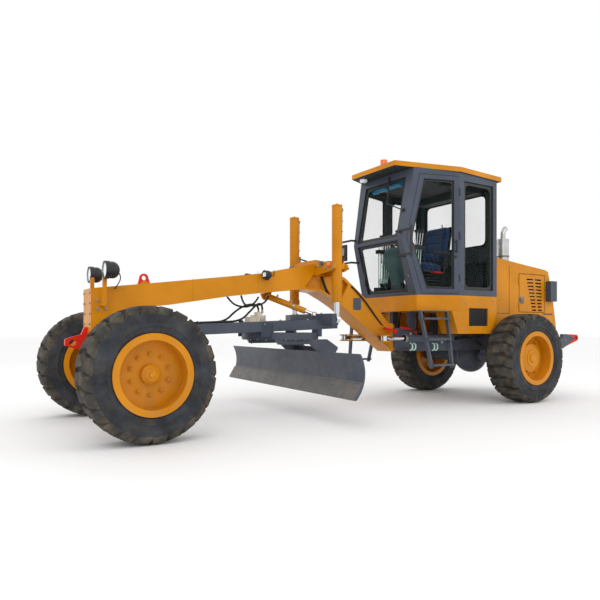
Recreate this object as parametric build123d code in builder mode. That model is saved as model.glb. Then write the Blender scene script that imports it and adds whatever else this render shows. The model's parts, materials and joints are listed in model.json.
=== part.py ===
"""Articulated motor grader: two axles, gooseneck front frame, blade on a turning circle, hexagonal cab.

Millimetres. +X forward, +Y left, +Z up. The origin is on the ground, under the middle of the machine.
"""
import os
from math import atan2, cos, degrees, pi, radians, sin, sqrt, tan

from build123d import *

# Running stock
GAP = 5.0               # free space between pieces that move past each other
SEAT = 0.3              # space between a moving piece and the flat that it runs on
FIT = 0.1               # radial play of a pin or rod in its bore

# Wheels
TYRE_R = 587.5
TYRE_W = 410.0
BULGE_R = 455.0
SHOULDER_HALF_W = TYRE_W / 2 - 9
TREAD_HALF_W = TYRE_W / 2 - 45
LUGS = 24
LUG_RISE = 28.0
GROOVE_W = 40.0
CHEVRON = 62.0
BEAD_R = 305.0
FLANGE_R = 352.0
FLANGE_T = 15.0
RIM_HALF_W = 165.0
RIM_WALL = 12.0
DISC_OUT = 40.0
DISC_T = 16.0
FRONT_HUB_R = 84.0
REAR_HUB_R = 190.0
HUB_SLEEVE_R = 75.0
SPINDLE_R = 38.0

# Stance
WHEELBASE = 5210.0
FRONT_AXLE_X = 3160.0
REAR_AXLE_X = FRONT_AXLE_X - WHEELBASE
FRONT_TRACK = 1910.0
REAR_TRACK = 1820.0
REACH_X = FRONT_AXLE_X + TYRE_R
TAIL_X = -REACH_X

# Front frame, a box beam
BEAM_HALF_W = 150.0
NOSE_X = FRONT_AXLE_X + 285.0
NOSE_LOW_Z = 925.0
NOSE_TOP_Z = 1363.0
PIVOT_X = -440.0
PIVOT_PIN_R = 36.0
PIVOT_LUG_R = 85.0
PIVOT_LUG_T = 40.0
HOOK_HOLE_R = 30.0
HEEL_X = -388.0
HEEL_LOW_Z = 678.0
HEEL_TOP_Z = 1045.0
CHEEK_T = 20.0
HANGER_T = 30.0
FLANGE_PLATE_T = 32.0
WEB_RECESS = 60.0

# Lamps, hook and lug on the front frame
LAMP_X = FRONT_AXLE_X + 130.0
LAMP_Y = 300.0
LAMP_Z = 1530.0
LAMP_R = 85.0
LAMP_DEPTH = 140.0
LAMP_POST = 36.0
WORK_LAMP_X = 1490.0
WORK_LAMP_Y = 215.0
WORK_LAMP_Z = 1576.0
WORK_LAMP_R = 50.0
WORK_LAMP_DEPTH = 90.0
HOOK_T = 44.0
LIFT_LUG_X = FRONT_AXLE_X - 280.0
LIFT_LUG_Z = 1495.0
LIFT_LUG_R = 45.0
LIFT_LUG_HOLE_R = 24.0
LIFT_LUG_T = 30.0

# Front axle and steering
AXLE_BEAM_HALF_W = 75.0
AXLE_BEAM_LOW = -67.0
AXLE_BEAM_HIGH = 63.0
KINGPIN_Y = FRONT_TRACK / 2 - 255.0
KINGPIN_R = 22.0
KNUCKLE_BOSS_R = 48.0
KNUCKLE_BOSS_H = 94.0
KNUCKLE_FORK_T = 50.0
KNUCKLE_FORK_R = 55.0
STEER_ARM = 180.0
STEER_ARM_T = 25.0
TIE_ROD_R = 18.0
TIE_END_T = 20.0
STEER_BARREL_R = 38.0
STEER_BARREL_L = 560.0
AXLE_PIN_R = 35.0

# Drawbar and circle
BALL_X = FRONT_AXLE_X + 140.0
BALL_Z = 900.0
BALL_R = 45.0
DRAWBAR_FRONT_X = BALL_X - 65.0
DRAWBAR_KNEE_X = 1156.0
DRAWBAR_REAR_X = 657.0
DRAWBAR_H = 113.0
DRAWBAR_REAR_TOP = 1092.0
DRAWBAR_HALF_W = 345.0
DRAWBAR_BEAM_W = 100.0
CROSS_BEAM_LENGTH = 149.0
CROSS_BEAM_HALF_W = 500.0
CIRCLE_X = 1240.0
CIRCLE_R = 450.0
CIRCLE_BORE_R = 360.0
CIRCLE_TEETH = 60
TOOTH_DEPTH = 20.0
CIRCLE_LOW_Z = 855.0
CIRCLE_TOP_Z = 930.0
SHOE_T = 40.0
ARM_Y = 380.0
ARM_T = 40.0
ARM_LOW_Z = CIRCLE_LOW_Z - 55.0
ARM_TIE_W = 60.0
ARM_TIE_H = 90.0

# Blade, in the plane of the circle
BLADE_YAW = -4.0
BLADE_LENGTH = 3048.0
BLADE_T = 20.0
BLADE_EDGE_A = 0.0
BLADE_EDGE_Z = 295.0
BLADE_TOP_A = -50.0
BLADE_TOP_Z = 735.0
BLADE_HOLLOW = 75.0
EDGE_PLATE_T = 14.0
EDGE_PLATE_SHARE = 0.36
RAIL_A = 36.0
RAIL_H = 40.0
RAIL_LENGTH = 2200.0
RAIL_LOW_Z = 432.0
RAIL_HIGH_Z = 632.0
TILT_A = -205.0
TILT_Z = 430.0
TILT_PIN_R = 28.0
TILT_BOSS_R = 42.0
CARRIER_T = 24.0
SHIFT_ROD_R = 16.0
SHIFT_ROD_L = 1120.0
BLADE_SHIFT = 500.0

# Lift cylinders
LIFT_X = 745.0
LIFT_Y = 450.0
LIFT_BARREL_R = 60.0
LIFT_ROD_R = 32.0
LIFT_BARREL_LOW = 1282.0
LIFT_BARREL_TOP = 2395.0
LIFT_EYE_Z = 1085.0
LIFT_EYE_R = 40.0
LIFT_EYE_T = 52.0
SADDLE_LOW_Z = 1640.0
SADDLE_TOP_Z = 1770.0
SADDLE_T = 25.0

# Drawbar side cylinder
SIDE_FOOT = Vector(1343, -100, 1355)
SIDE_END = Vector(960, 295, 1140)
SIDE_BARREL_R = 36.0
SIDE_ROD_R = 20.0
SIDE_BALL_R = 32.0

# Articulation cylinders
ART_Y = 400.0
ART_Z = 855.0
ART_EYE_X = -20.0
ART_PIN_X = -1200.0
ART_BARREL_END_X = -347.0
ART_BARREL_R = 45.0
ART_ROD_R = 24.0
ART_EYE_R = 40.0
ART_EYE_H = 56.0
ART_NECK = 85.0
ART_NECK_W = 60.0
ART_PLAY_PIN_R = 15.0
ART_EAR_T = 16.0

# Rear frame
RAIL_LOW = 680.0
RAIL_TOP = 850.0
RAIL_OUT_Y = 340.0
RAIL_IN_Y = 240.0
RAIL_WIDE_X = -1160.0
RAIL_END_X = TAIL_X + 481.5
NECK_X = -640.0
NECK_HALF_W = 190.0
CROTCH_X = -760.0
CROTCH_HALF_W = 130.0
HEAD_R = 48.0
CAB_MOUNT_XS = (-700.0, -1600.0)
CAB_MOUNT_L = 100.0
CAB_MOUNT_W = 60.0
OUTRIGGER_XS = (REAR_AXLE_X + 150.0, TAIL_X + 647.5)
OUTRIGGER_L = 80.0
END_PLATE_T = 80.0
BUMPER_HALF_W = 640.0
LUG_ROOT_X = TAIL_X + 305.5
LUG_TIP_R = 48.0
LUG_Y = 600.0
LUG_LOW_Z = 714.0
LUG_TOP_Z = 894.0
LUG_HOLE_R = 27.0
LUG_T = 40.0
AXLE_TUBE_R = 92.5
DIFF_R = 247.0
DIFF_HALF_W = 190.0

# Cab
CAB_SILL_Z = 1400.0
CAB_SILL_X = -440.0
CAB_KNEE_X = -240.0
CAB_KNEE_Z = 2105.0
CAB_TOP_X = -412.0
CAB_REAR_X = -1740.0
CAB_POST_X = -1030.0
CAB_HALF_W = 700.0
CAB_KNEE_HALF_W = 465.0
CAB_WALL = 50.0
CAB_ROOF_FRONT_Z = 3005.0
CAB_ROOF_REAR_Z = CAB_ROOF_FRONT_Z - 60.0
ROOF_FRONT_X = -170.0
ROOF_REAR_X = -1810.0
ROOF_FRONT_HALF_W = 420.0
ROOF_HALF_W = 720.0
ROOF_RIM = 62.0
ROOF_CROWN = 55.0
GLASS_T = 8.0
BEACON_X = -370.0
BEACON_R = 48.0
BEACON_H = 130.0
BEACON_BASE_H = 50.0
SEAT_X = -850.0
SEAT_BASE_X = -1130.0
SEAT_BASE_L = 360.0
SEAT_BASE_W = 380.0
SEAT_BASE_H = 300.0
SEAT_W = 500.0
SEAT_DEPTH = 410.0
CUSHION_T = 110.0
BACK_H = 690.0
BACK_T = 100.0
BACK_RAKE = 90.0
COLUMN_X = -600.0
COLUMN_FOOT_W = 190.0
COLUMN_FOOT_H = 90.0
COLUMN_L = 110.0
COLUMN_W = 90.0
WHEEL_X = -730.0
WHEEL_Z = 2080.0
WHEEL_R = 200.0
WHEEL_TUBE = 28.0
DOOR_REAR_X = -1000.0
DOOR_LOW_Z = 1425.0
DOOR_TOP_Z = CAB_ROOF_FRONT_Z - 90.0
DOOR_FRAME = 55.0
POST_W = 75.0

# Cab base and ladders
BASE_LOW_Z = 1200.0
SKIRT_LOW_Z = 910.0
SKIRT_FRONT_X = -990.0
SKIRT_NOTCH_X = -880.0
SKIRT_IN_Y = 420.0
VENT_X = -1380.0
VENT_Z = 1126.0
VENT_W = 370.0
VENT_H = 232.0
VENT_DEPTH = 25.0
LADDER_X = -600.0
LADDER_TOP_Y = 675.0
LADDER_LOW_Y = 815.0
LADDER_LOW_Z = 500.0
LADDER_TOP_HALF = 245.0
LADDER_LOW_HALF = 190.0
LADDER_RAIL_T = 28.0
LADDER_RAIL_D = 45.0
LADDER_PLATE_T = 12.0
LADDER_PLATE_W = 190.0

# Hood and engine
HOOD_FRONT_X = CAB_REAR_X - GAP
HOOD_HALF_W = 550.0
HOOD_LOW_Z = 905.0
HOOD_WALL = 20.0
HOOD_REAR_X = TAIL_X + 447.5
ENGINE_X = HOOD_REAR_X + 870.0
ENGINE_L = 900.0
ENGINE_W = 560.0
ENGINE_H = 800.0
HOOD_DOOR_FRONT_X = HOOD_REAR_X + 880.0
HOOD_DOOR_REAR_X = HOOD_REAR_X + 290.0
HOOD_DOOR_LOW_Z = 1215.0
HOOD_DOOR_TOP_Z = 1760.0
LOUVRE_ROWS = 10
LOUVRE_PITCH = 49.0
LOUVRE_H = 22.0
LOUVRE_GAP = 40.0
GRILLE_ROWS = 7
GRILLE_PITCH = 52.0
GRILLE_SLOT_H = 26.0
GRILLE_SLOT_W = 330.0
LAMP_BOX_T = 85.0
LAMP_BOX_L = 150.0
LAMP_BOX_H = 300.0
LAMP_BOX_Z = 1525.0
EXHAUST_X = HOOD_REAR_X + 778.0
EXHAUST_Y = 200.0
EXHAUST_R = 86.0
EXHAUST_TOP_Z = 2300.0
TAIL_R = 38.0

SIDES = (("left", 1), ("right", -1))

os.makedirs("parts", exist_ok=True)


def line_z(x, start, end):
    """Height at x of the straight line between two (x, z) points."""
    return start[1] + (x - start[0]) * (end[1] - start[1]) / (end[0] - start[0])


def side_plane(y):
    """A plane that looks along Y: its x is the machine's X and its y is the machine's Z."""
    return Plane(origin=(0, y, 0), x_dir=(1, 0, 0), z_dir=(0, -1, 0))


def across(x):
    """A plane that looks along X: its x is the machine's Y and its y is the machine's Z."""
    return Plane(origin=(x, 0, 0), x_dir=(0, 1, 0), z_dir=(1, 0, 0))


# Tyres and rims. Columns: name, axle x, half the track, hub radius
WHEELS = (
    ("front", FRONT_AXLE_X, FRONT_TRACK / 2, FRONT_HUB_R),
    ("rear", REAR_AXLE_X, REAR_TRACK / 2, REAR_HUB_R),
)
HUB_BACK = 60.0


def lug_plane(angle):
    """A plane on the floor of the tread: its x runs along the axle and its y round the tyre."""
    outward = Vector(cos(radians(angle)), 0, sin(radians(angle)))
    return Plane(origin=outward * (TYRE_R - LUG_RISE), x_dir=(0, 1, 0), z_dir=outward)


# Tyre about its own centre, with grooves in chevrons that part the tread into lugs
groove_half = TYRE_W / 2 + 5
with BuildPart() as tyre_form:
    with BuildSketch(Plane.XY):
        with BuildLine():
            Polyline(
                (FLANGE_R, RIM_HALF_W),
                (BEAD_R, RIM_HALF_W),
                (BEAD_R, -RIM_HALF_W),
                (FLANGE_R, -RIM_HALF_W),
                (BULGE_R, -TYRE_W / 2),
                (TYRE_R - LUG_RISE - 7, -SHOULDER_HALF_W),
                (TYRE_R, -TREAD_HALF_W),
                (TYRE_R, TREAD_HALF_W),
                (TYRE_R - LUG_RISE - 7, SHOULDER_HALF_W),
                (BULGE_R, TYRE_W / 2),
                close=True,
            )
        make_face()
    revolve(axis=Axis.Y)
    for lug in range(LUGS):
        with BuildSketch(lug_plane(360 / LUGS * lug)):
            with BuildLine():
                Polyline(
                    (-groove_half, -GROOVE_W / 2),
                    (0, CHEVRON - GROOVE_W / 2),
                    (groove_half, -GROOVE_W / 2),
                    (groove_half, GROOVE_W / 2),
                    (0, CHEVRON + GROOVE_W / 2),
                    (-groove_half, GROOVE_W / 2),
                    close=True,
                )
            make_face()
    extrude(amount=LUG_RISE + 20, mode=Mode.SUBTRACT)

for end, axle_x, half_track, hub_r in WHEELS:
    for side, sign in SIDES:
        centre = (axle_x, sign * half_track, TYRE_R)
        wheel_plane = Plane(origin=centre, x_dir=(1, 0, 0), z_dir=(0, 0, sign))
        axle_line = Axis(centre, (0, 1, 0))
        with BuildPart() as tyre:
            with Locations(centre):
                add(tyre_form.part)
        tyre.part.label = f"tyre_{end}_{side}"
        export_step(tyre.part, f"parts/tyre_{end}_{side}.step")

        barrel_in_r = BEAD_R - RIM_WALL
        with BuildPart() as rim:
            with BuildSketch(wheel_plane):
                with BuildLine():
                    Polyline(
                        (0, DISC_OUT - DISC_T),
                        (barrel_in_r, DISC_OUT - DISC_T),
                        (barrel_in_r, -RIM_HALF_W - FLANGE_T),
                        (FLANGE_R, -RIM_HALF_W - FLANGE_T),
                        (FLANGE_R, -RIM_HALF_W),
                        (BEAD_R, -RIM_HALF_W),
                        (BEAD_R, RIM_HALF_W),
                        (FLANGE_R, RIM_HALF_W),
                        (FLANGE_R, RIM_HALF_W + FLANGE_T),
                        (barrel_in_r, RIM_HALF_W + FLANGE_T),
                        (barrel_in_r, DISC_OUT),
                        (0, DISC_OUT),
                        close=True,
                    )
                make_face()
            revolve(axis=axle_line)
            with BuildSketch(wheel_plane):
                with BuildLine():
                    Polyline(
                        (0, -HUB_BACK),
                        (HUB_SLEEVE_R, -HUB_BACK),
                        (HUB_SLEEVE_R, DISC_OUT - DISC_T),
                        (hub_r, DISC_OUT - DISC_T),
                        (hub_r, DISC_OUT + 50),
                        (hub_r * 0.7, DISC_OUT + 72),
                        (hub_r * 0.32, DISC_OUT + 72),
                        (hub_r * 0.3, DISC_OUT + 88),
                        (0, DISC_OUT + 88),
                        close=True,
                    )
                make_face()
            revolve(axis=axle_line)
            with BuildSketch(wheel_plane):
                with Locations((0, DISC_OUT / 2 - HUB_BACK / 2)):
                    Rectangle(SPINDLE_R + FIT, DISC_OUT + HUB_BACK, align=(Align.MIN, Align.CENTER))
            revolve(axis=axle_line, mode=Mode.SUBTRACT)
        rim.part.label = f"rim_{end}_{side}"
        export_step(rim.part, f"parts/rim_{end}_{side}.step")

# Front frame: one box beam with an arch behind the blade and a heel at the pivot
ARCH_TOP = (785.0, 1753.0)
BEAM_TOP = (  # x, z from the nose back over the arch
    (NOSE_X, NOSE_TOP_Z),
    (FRONT_AXLE_X - 400, 1446.0),
    (1968.0, 1545.0),
    (1560.0, 1598.0),
    (1195.0, 1676.0),
    ARCH_TOP,
    (390.0, 1598.0),
    (75.0, 1361.0),
    (-154.0, 1214.0),
    (-256.0, 1099.0),
    (HEEL_X + 70, HEEL_TOP_Z),
    (HEEL_X, HEEL_TOP_Z),
)
BEAM_LOW = (  # x, z from the heel forward under the arch
    (HEEL_X, HEEL_LOW_Z),
    (414.0, 1240.0),
    (577.0, 1329.0),
    (760.0, 1416.0),
    (1013.0, 1438.0),
    (1503.0, 1385.0),
    (1968.0, 1329.0),
    (FRONT_AXLE_X - 493, 1219.0),
    (FRONT_AXLE_X - 140, 1185.0),
    (FRONT_AXLE_X - 140, TYRE_R - 55),
    (FRONT_AXLE_X + 140, TYRE_R - 55),
    (NOSE_X, NOSE_LOW_Z),
)
WEB_OUTLINE = (  # x, z round the stretch where the web lies back between its flanges
    (985.0, 1438.0 + FLANGE_PLATE_T),
    (790.0, 1745.0 - FLANGE_PLATE_T),
    (400.0, 1595.0 - FLANGE_PLATE_T),
    (345.0, 1553.0 - FLANGE_PLATE_T),
    (468.0, 1270.0 + FLANGE_PLATE_T),
    (577.0, 1329.0 + FLANGE_PLATE_T),
    (760.0, 1416.0 + FLANGE_PLATE_T),
)
PIVOT_LOW_Z = HEEL_LOW_Z + 12
PIVOT_TOP_Z = HEEL_TOP_Z - 20
FORK_IN = BEAM_HALF_W - CHEEK_T
with BuildPart() as gooseneck:
    with BuildSketch(side_plane(0)):
        with BuildLine():
            Polyline(*BEAM_TOP, *BEAM_LOW, close=True)
        make_face()
    extrude(amount=BEAM_HALF_W, both=True)
    for sign in (1, -1):
        with BuildSketch(side_plane(sign * BEAM_HALF_W)):
            with BuildLine():
                Polyline(*WEB_OUTLINE, close=True)
            make_face()
        extrude(amount=sign * WEB_RECESS, mode=Mode.SUBTRACT)
    # The nose is open below, so the drawbar runs between its two cheeks
    with BuildSketch(side_plane(0)):
        with Locations((FRONT_AXLE_X - 150, TYRE_R - 60)):
            Rectangle(
                BALL_X + BALL_R + 30 - FRONT_AXLE_X + 150,
                1160 - TYRE_R + 60,
                align=(Align.MIN, Align.MIN),
            )
    extrude(amount=FORK_IN, both=True, mode=Mode.SUBTRACT)
    # Two cross plates hold the axle pin
    for sign in (1, -1):
        inner = FRONT_AXLE_X + sign * (AXLE_BEAM_HALF_W + GAP)
        with BuildSketch(across(inner)):
            with Locations((0, TYRE_R - 50)):
                Rectangle(2 * FORK_IN, 200, align=(Align.CENTER, Align.MIN))
        extrude(amount=sign * HANGER_T)
    with BuildSketch(across(FRONT_AXLE_X - AXLE_BEAM_HALF_W - GAP - HANGER_T)):
        with Locations((0, TYRE_R)):
            Circle(AXLE_PIN_R)
    extrude(amount=2 * (AXLE_BEAM_HALF_W + GAP + HANGER_T))
    # Ball seat of the drawbar, on the nose plate
    with BuildSketch(across(BALL_X + BALL_R + SEAT)):
        with Locations((0, BALL_Z + 25)):
            Rectangle(2 * FORK_IN, 150)
    extrude(amount=30 - SEAT)
    # Lugs and pin of the frame pivot
    for low in (PIVOT_LOW_Z, PIVOT_TOP_Z - PIVOT_LUG_T):
        with BuildSketch(Plane.XY.offset(low)):
            with Locations((PIVOT_X, 0)):
                Circle(PIVOT_LUG_R)
            with Locations(((PIVOT_X + HEEL_X) / 2, 0)):
                Rectangle(HEEL_X - PIVOT_X, 2 * PIVOT_LUG_R)
        extrude(amount=PIVOT_LUG_T)
    with BuildSketch(Plane.XY.offset(PIVOT_LOW_Z)):
        with Locations((PIVOT_X, 0)):
            Circle(PIVOT_PIN_R)
    extrude(amount=PIVOT_TOP_Z - PIVOT_LOW_Z)
    # Ears for the articulation cylinders, above and below each eye
    for sign in (1, -1):
        for low in (ART_Z + ART_EYE_H / 2 + SEAT, ART_Z - ART_EYE_H / 2 - SEAT - ART_EAR_T):
            with BuildSketch(Plane.XY.offset(low)):
                with BuildLine():
                    Polyline(
                        (HEEL_X + 30, sign * BEAM_HALF_W),
                        (HEEL_X + 250, sign * BEAM_HALF_W),
                        (ART_EYE_X + 50, sign * (ART_Y - 30)),
                        (ART_EYE_X + 50, sign * (ART_Y + 30)),
                        (ART_EYE_X + 20, sign * (ART_Y + 50)),
                        (ART_EYE_X - 50, sign * (ART_Y + 40)),
                        close=True,
                    )
                make_face()
            extrude(amount=ART_EAR_T)
    # Bracket under the beam for the side cylinder
    with BuildSketch(side_plane(SIDE_FOOT.Y - SIDE_BARREL_R - SEAT - 20)):
        with BuildLine():
            Polyline(
                (SIDE_FOOT.X - 73, SIDE_FOOT.Z + 57),
                (SIDE_FOOT.X - 43, SIDE_FOOT.Z - 30),
                (SIDE_FOOT.X, SIDE_FOOT.Z - 45),
                (SIDE_FOOT.X + 47, SIDE_FOOT.Z - 30),
                (SIDE_FOOT.X + 77, SIDE_FOOT.Z + 35),
                close=True,
            )
        make_face()
    extrude(amount=-20)
gooseneck.part.label = "gooseneck"
export_step(gooseneck.part, "parts/gooseneck.step")

# Lift saddle: two cross plates over the arch, with the cylinder trunnions between them
SADDLE_IN = LIFT_BARREL_R + GAP + 20
with BuildPart() as lift_saddle:
    for sign in (1, -1):
        with BuildSketch(across(LIFT_X + sign * SADDLE_IN)):
            with BuildLine():
                Polyline(
                    (-LIFT_Y - 70, SADDLE_LOW_Z + 30),
                    (-LIFT_Y - 30, SADDLE_LOW_Z),
                    (-BEAM_HALF_W, SADDLE_LOW_Z - 40),
                    (BEAM_HALF_W, SADDLE_LOW_Z - 40),
                    (LIFT_Y + 30, SADDLE_LOW_Z),
                    (LIFT_Y + 70, SADDLE_LOW_Z + 30),
                    (LIFT_Y + 70, SADDLE_TOP_Z - 60),
                    (BEAM_HALF_W + 30, SADDLE_TOP_Z + 20),
                    (-BEAM_HALF_W - 30, SADDLE_TOP_Z + 20),
                    (-LIFT_Y - 70, SADDLE_TOP_Z - 60),
                    close=True,
                )
            make_face()
        extrude(amount=sign * SADDLE_T)
    for sign in (1, -1):
        with BuildSketch(across(LIFT_X - SADDLE_IN)):
            with Locations((sign * (BEAM_HALF_W + 60), (SADDLE_LOW_Z + SADDLE_TOP_Z) / 2)):
                Rectangle(25, SADDLE_TOP_Z - SADDLE_LOW_Z - 40)
        extrude(amount=2 * SADDLE_IN)
    add(gooseneck.part, mode=Mode.SUBTRACT)
    # Barrels with their collars, bored for the rods
    for sign in (1, -1):
        for low, top, radius in (
            (LIFT_BARREL_LOW, LIFT_BARREL_TOP, LIFT_BARREL_R),
            (LIFT_BARREL_LOW, LIFT_BARREL_LOW + 60, LIFT_BARREL_R + 8),
        ):
            with BuildSketch(Plane.XY.offset(low)):
                with Locations((LIFT_X, sign * LIFT_Y)):
                    Circle(radius)
            extrude(amount=top - low)
        with BuildSketch(Plane.XY.offset(SADDLE_LOW_Z + 20)):
            with Locations((LIFT_X, sign * LIFT_Y)):
                Rectangle(2 * SADDLE_IN, 90)
        extrude(amount=70)
    for sign in (1, -1):
        with BuildSketch(Plane.XY.offset(LIFT_BARREL_LOW)):
            with Locations((LIFT_X, sign * LIFT_Y)):
                Circle(LIFT_ROD_R + FIT)
        extrude(amount=LIFT_BARREL_TOP - LIFT_BARREL_LOW - 30, mode=Mode.SUBTRACT)
lift_saddle.part.label = "lift_saddle"
export_step(lift_saddle.part, "parts/lift_saddle.step")

for side, sign in SIDES:
    with BuildPart() as lift_rod:
        with BuildSketch(Plane.XY.offset(LIFT_EYE_Z)):
            with Locations((LIFT_X, sign * LIFT_Y)):
                Circle(LIFT_ROD_R)
        extrude(amount=LIFT_BARREL_TOP - 30 - 150 - LIFT_EYE_Z)
        with BuildSketch(across(LIFT_X - LIFT_EYE_T / 2)):
            with Locations((sign * LIFT_Y, LIFT_EYE_Z)):
                Circle(LIFT_EYE_R)
        extrude(amount=LIFT_EYE_T)
    lift_rod.part.label = f"lift_rod_{side}"
    export_step(lift_rod.part, f"parts/lift_rod_{side}.step")

# Front axle, a box beam that ends in a boss at each kingpin
BOSS_LOW = TYRE_R - KNUCKLE_BOSS_H / 2
with BuildPart() as front_axle:
    with BuildSketch(across(FRONT_AXLE_X - AXLE_BEAM_HALF_W)):
        with BuildLine():
            Polyline(
                (-KINGPIN_Y + 65, TYRE_R - 47),
                (-300, TYRE_R + AXLE_BEAM_LOW),
                (300, TYRE_R + AXLE_BEAM_LOW),
                (KINGPIN_Y - 65, TYRE_R - 47),
                (KINGPIN_Y - 65, TYRE_R + 47),
                (300, TYRE_R + AXLE_BEAM_HIGH),
                (-300, TYRE_R + AXLE_BEAM_HIGH),
                (-KINGPIN_Y + 65, TYRE_R + 47),
                close=True,
            )
        make_face()
    extrude(amount=2 * AXLE_BEAM_HALF_W)
    for sign in (1, -1):
        with BuildSketch(Plane.XY.offset(BOSS_LOW)):
            with Locations((FRONT_AXLE_X, sign * KINGPIN_Y)):
                Circle(KNUCKLE_BOSS_R)
            with Locations((FRONT_AXLE_X, sign * (KINGPIN_Y - 45))):
                Rectangle(2 * KNUCKLE_BOSS_R - 20, 60)
        extrude(amount=KNUCKLE_BOSS_H)
    with BuildSketch(Plane.XY.offset(BOSS_LOW)):
        with Locations((FRONT_AXLE_X, KINGPIN_Y), (FRONT_AXLE_X, -KINGPIN_Y)):
            Circle(KINGPIN_R + FIT)
    extrude(amount=KNUCKLE_BOSS_H, mode=Mode.SUBTRACT)
    with BuildSketch(across(FRONT_AXLE_X - AXLE_BEAM_HALF_W)):
        with Locations((0, TYRE_R)):
            Circle(AXLE_PIN_R + FIT)
    extrude(amount=2 * AXLE_BEAM_HALF_W, mode=Mode.SUBTRACT)
    add(gooseneck.part, mode=Mode.SUBTRACT)
front_axle.part.label = "front_axle"
export_step(front_axle.part, "parts/front_axle.step")

# Steering knuckles: a fork round the axle boss, a spindle and a steering arm
FORK_LOW = BOSS_LOW - SEAT
FORK_TOP = BOSS_LOW + KNUCKLE_BOSS_H + SEAT
ARM_TOP_Z = FORK_LOW - KNUCKLE_FORK_T + STEER_ARM_T
HUB_FACE_Y = FRONT_TRACK / 2 - HUB_BACK
TIE_X = FRONT_AXLE_X - STEER_ARM
TIE_Y = KINGPIN_Y - 30
TIE_TOP_Z = FORK_LOW - KNUCKLE_FORK_T - SEAT
TIE_Z = TIE_TOP_Z - TIE_END_T
for side, sign in SIDES:
    with BuildPart() as knuckle:
        for low, height in ((FORK_LOW - KNUCKLE_FORK_T, KNUCKLE_FORK_T), (FORK_TOP, KNUCKLE_FORK_T)):
            with BuildSketch(Plane.XY.offset(low)):
                with Locations((FRONT_AXLE_X, sign * KINGPIN_Y)):
                    Circle(KNUCKLE_FORK_R)
                with Locations((FRONT_AXLE_X, sign * (KINGPIN_Y + 45))):
                    Rectangle(2 * KNUCKLE_FORK_R, 90)
            extrude(amount=height)
        with BuildSketch(Plane.XY.offset(FORK_LOW - KNUCKLE_FORK_T)):
            with Locations((FRONT_AXLE_X, sign * (KINGPIN_Y + 75))):
                Rectangle(2 * KNUCKLE_FORK_R, 30)
        extrude(amount=FORK_TOP - FORK_LOW + 2 * KNUCKLE_FORK_T)
        with BuildSketch(Plane.XY.offset(FORK_LOW - KNUCKLE_FORK_T)):
            with Locations((FRONT_AXLE_X, sign * KINGPIN_Y)):
                Circle(KINGPIN_R)
        extrude(amount=FORK_TOP - FORK_LOW + 2 * KNUCKLE_FORK_T)
        for near, far, radius in (
            (KINGPIN_Y + 80, HUB_FACE_Y - SEAT, 65.0),
            (HUB_FACE_Y - SEAT, FRONT_TRACK / 2 + DISC_OUT - 10, SPINDLE_R),
        ):
            with BuildSketch(side_plane(sign * near)):
                with Locations((FRONT_AXLE_X, TYRE_R)):
                    Circle(radius)
            extrude(amount=-sign * (far - near))
        with BuildSketch(Plane.XY.offset(FORK_LOW - KNUCKLE_FORK_T)):
            with BuildLine():
                Polyline(
                    (FRONT_AXLE_X, sign * (KINGPIN_Y - 30)),
                    (TIE_X, sign * (TIE_Y - 26)),
                    (TIE_X - 26, sign * TIE_Y),
                    (TIE_X, sign * (TIE_Y + 26)),
                    (FRONT_AXLE_X, sign * (KINGPIN_Y + 30)),
                    close=True,
                )
            make_face()
        extrude(amount=STEER_ARM_T)
    knuckle.part.label = f"steering_knuckle_{side}"
    export_step(knuckle.part, f"parts/steering_knuckle_{side}.step")

with BuildPart() as tie_rod:
    with BuildSketch(side_plane(-TIE_Y)):
        with Locations((TIE_X, TIE_Z)):
            Circle(TIE_ROD_R)
    extrude(amount=-2 * TIE_Y)
    for sign in (1, -1):
        with BuildSketch(Plane.XY.offset(TIE_TOP_Z - 1.5 * TIE_END_T)):
            with Locations((TIE_X, sign * TIE_Y)):
                Circle(26)
        extrude(amount=1.5 * TIE_END_T)
tie_rod.part.label = "tie_rod"
export_step(tie_rod.part, "parts/tie_rod.step")

with BuildPart() as steer_barrel:
    with BuildSketch(side_plane(-STEER_BARREL_L / 2)):
        with Locations((TIE_X, TIE_Z)):
            Circle(STEER_BARREL_R)
    extrude(amount=-STEER_BARREL_L)
    for sign in (1, -1):
        with BuildSketch(side_plane(sign * 200 - 15)):
            with BuildLine():
                Polyline(
                    (TIE_X - 30, TIE_Z),
                    (TIE_X + 30, TIE_Z),
                    (FRONT_AXLE_X - AXLE_BEAM_HALF_W, TYRE_R - 60),
                    (FRONT_AXLE_X - AXLE_BEAM_HALF_W, TYRE_R + 20),
                    (TIE_X - 30, TIE_Z + 55),
                    close=True,
                )
            make_face()
        extrude(amount=-30)
    with BuildSketch(side_plane(-STEER_BARREL_L / 2)):
        with Locations((TIE_X, TIE_Z)):
            Circle(TIE_ROD_R + FIT)
    extrude(amount=-STEER_BARREL_L, mode=Mode.SUBTRACT)
steer_barrel.part.label = "steering_cylinder"
export_step(steer_barrel.part, "parts/steering_cylinder.step")

# Drawbar: two beams that part from the ball to the circle, and a cross beam for the cylinders
BAR_SLOPE = -0.0407
BAR_TOP_FRONT = DRAWBAR_REAR_TOP + (DRAWBAR_FRONT_X - DRAWBAR_REAR_X) * BAR_SLOPE
CROSS_X = DRAWBAR_REAR_X + CROSS_BEAM_LENGTH
CROSS_LOW_Z = 1018.0
CROSS_TOP_Z = 1149.0
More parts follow.
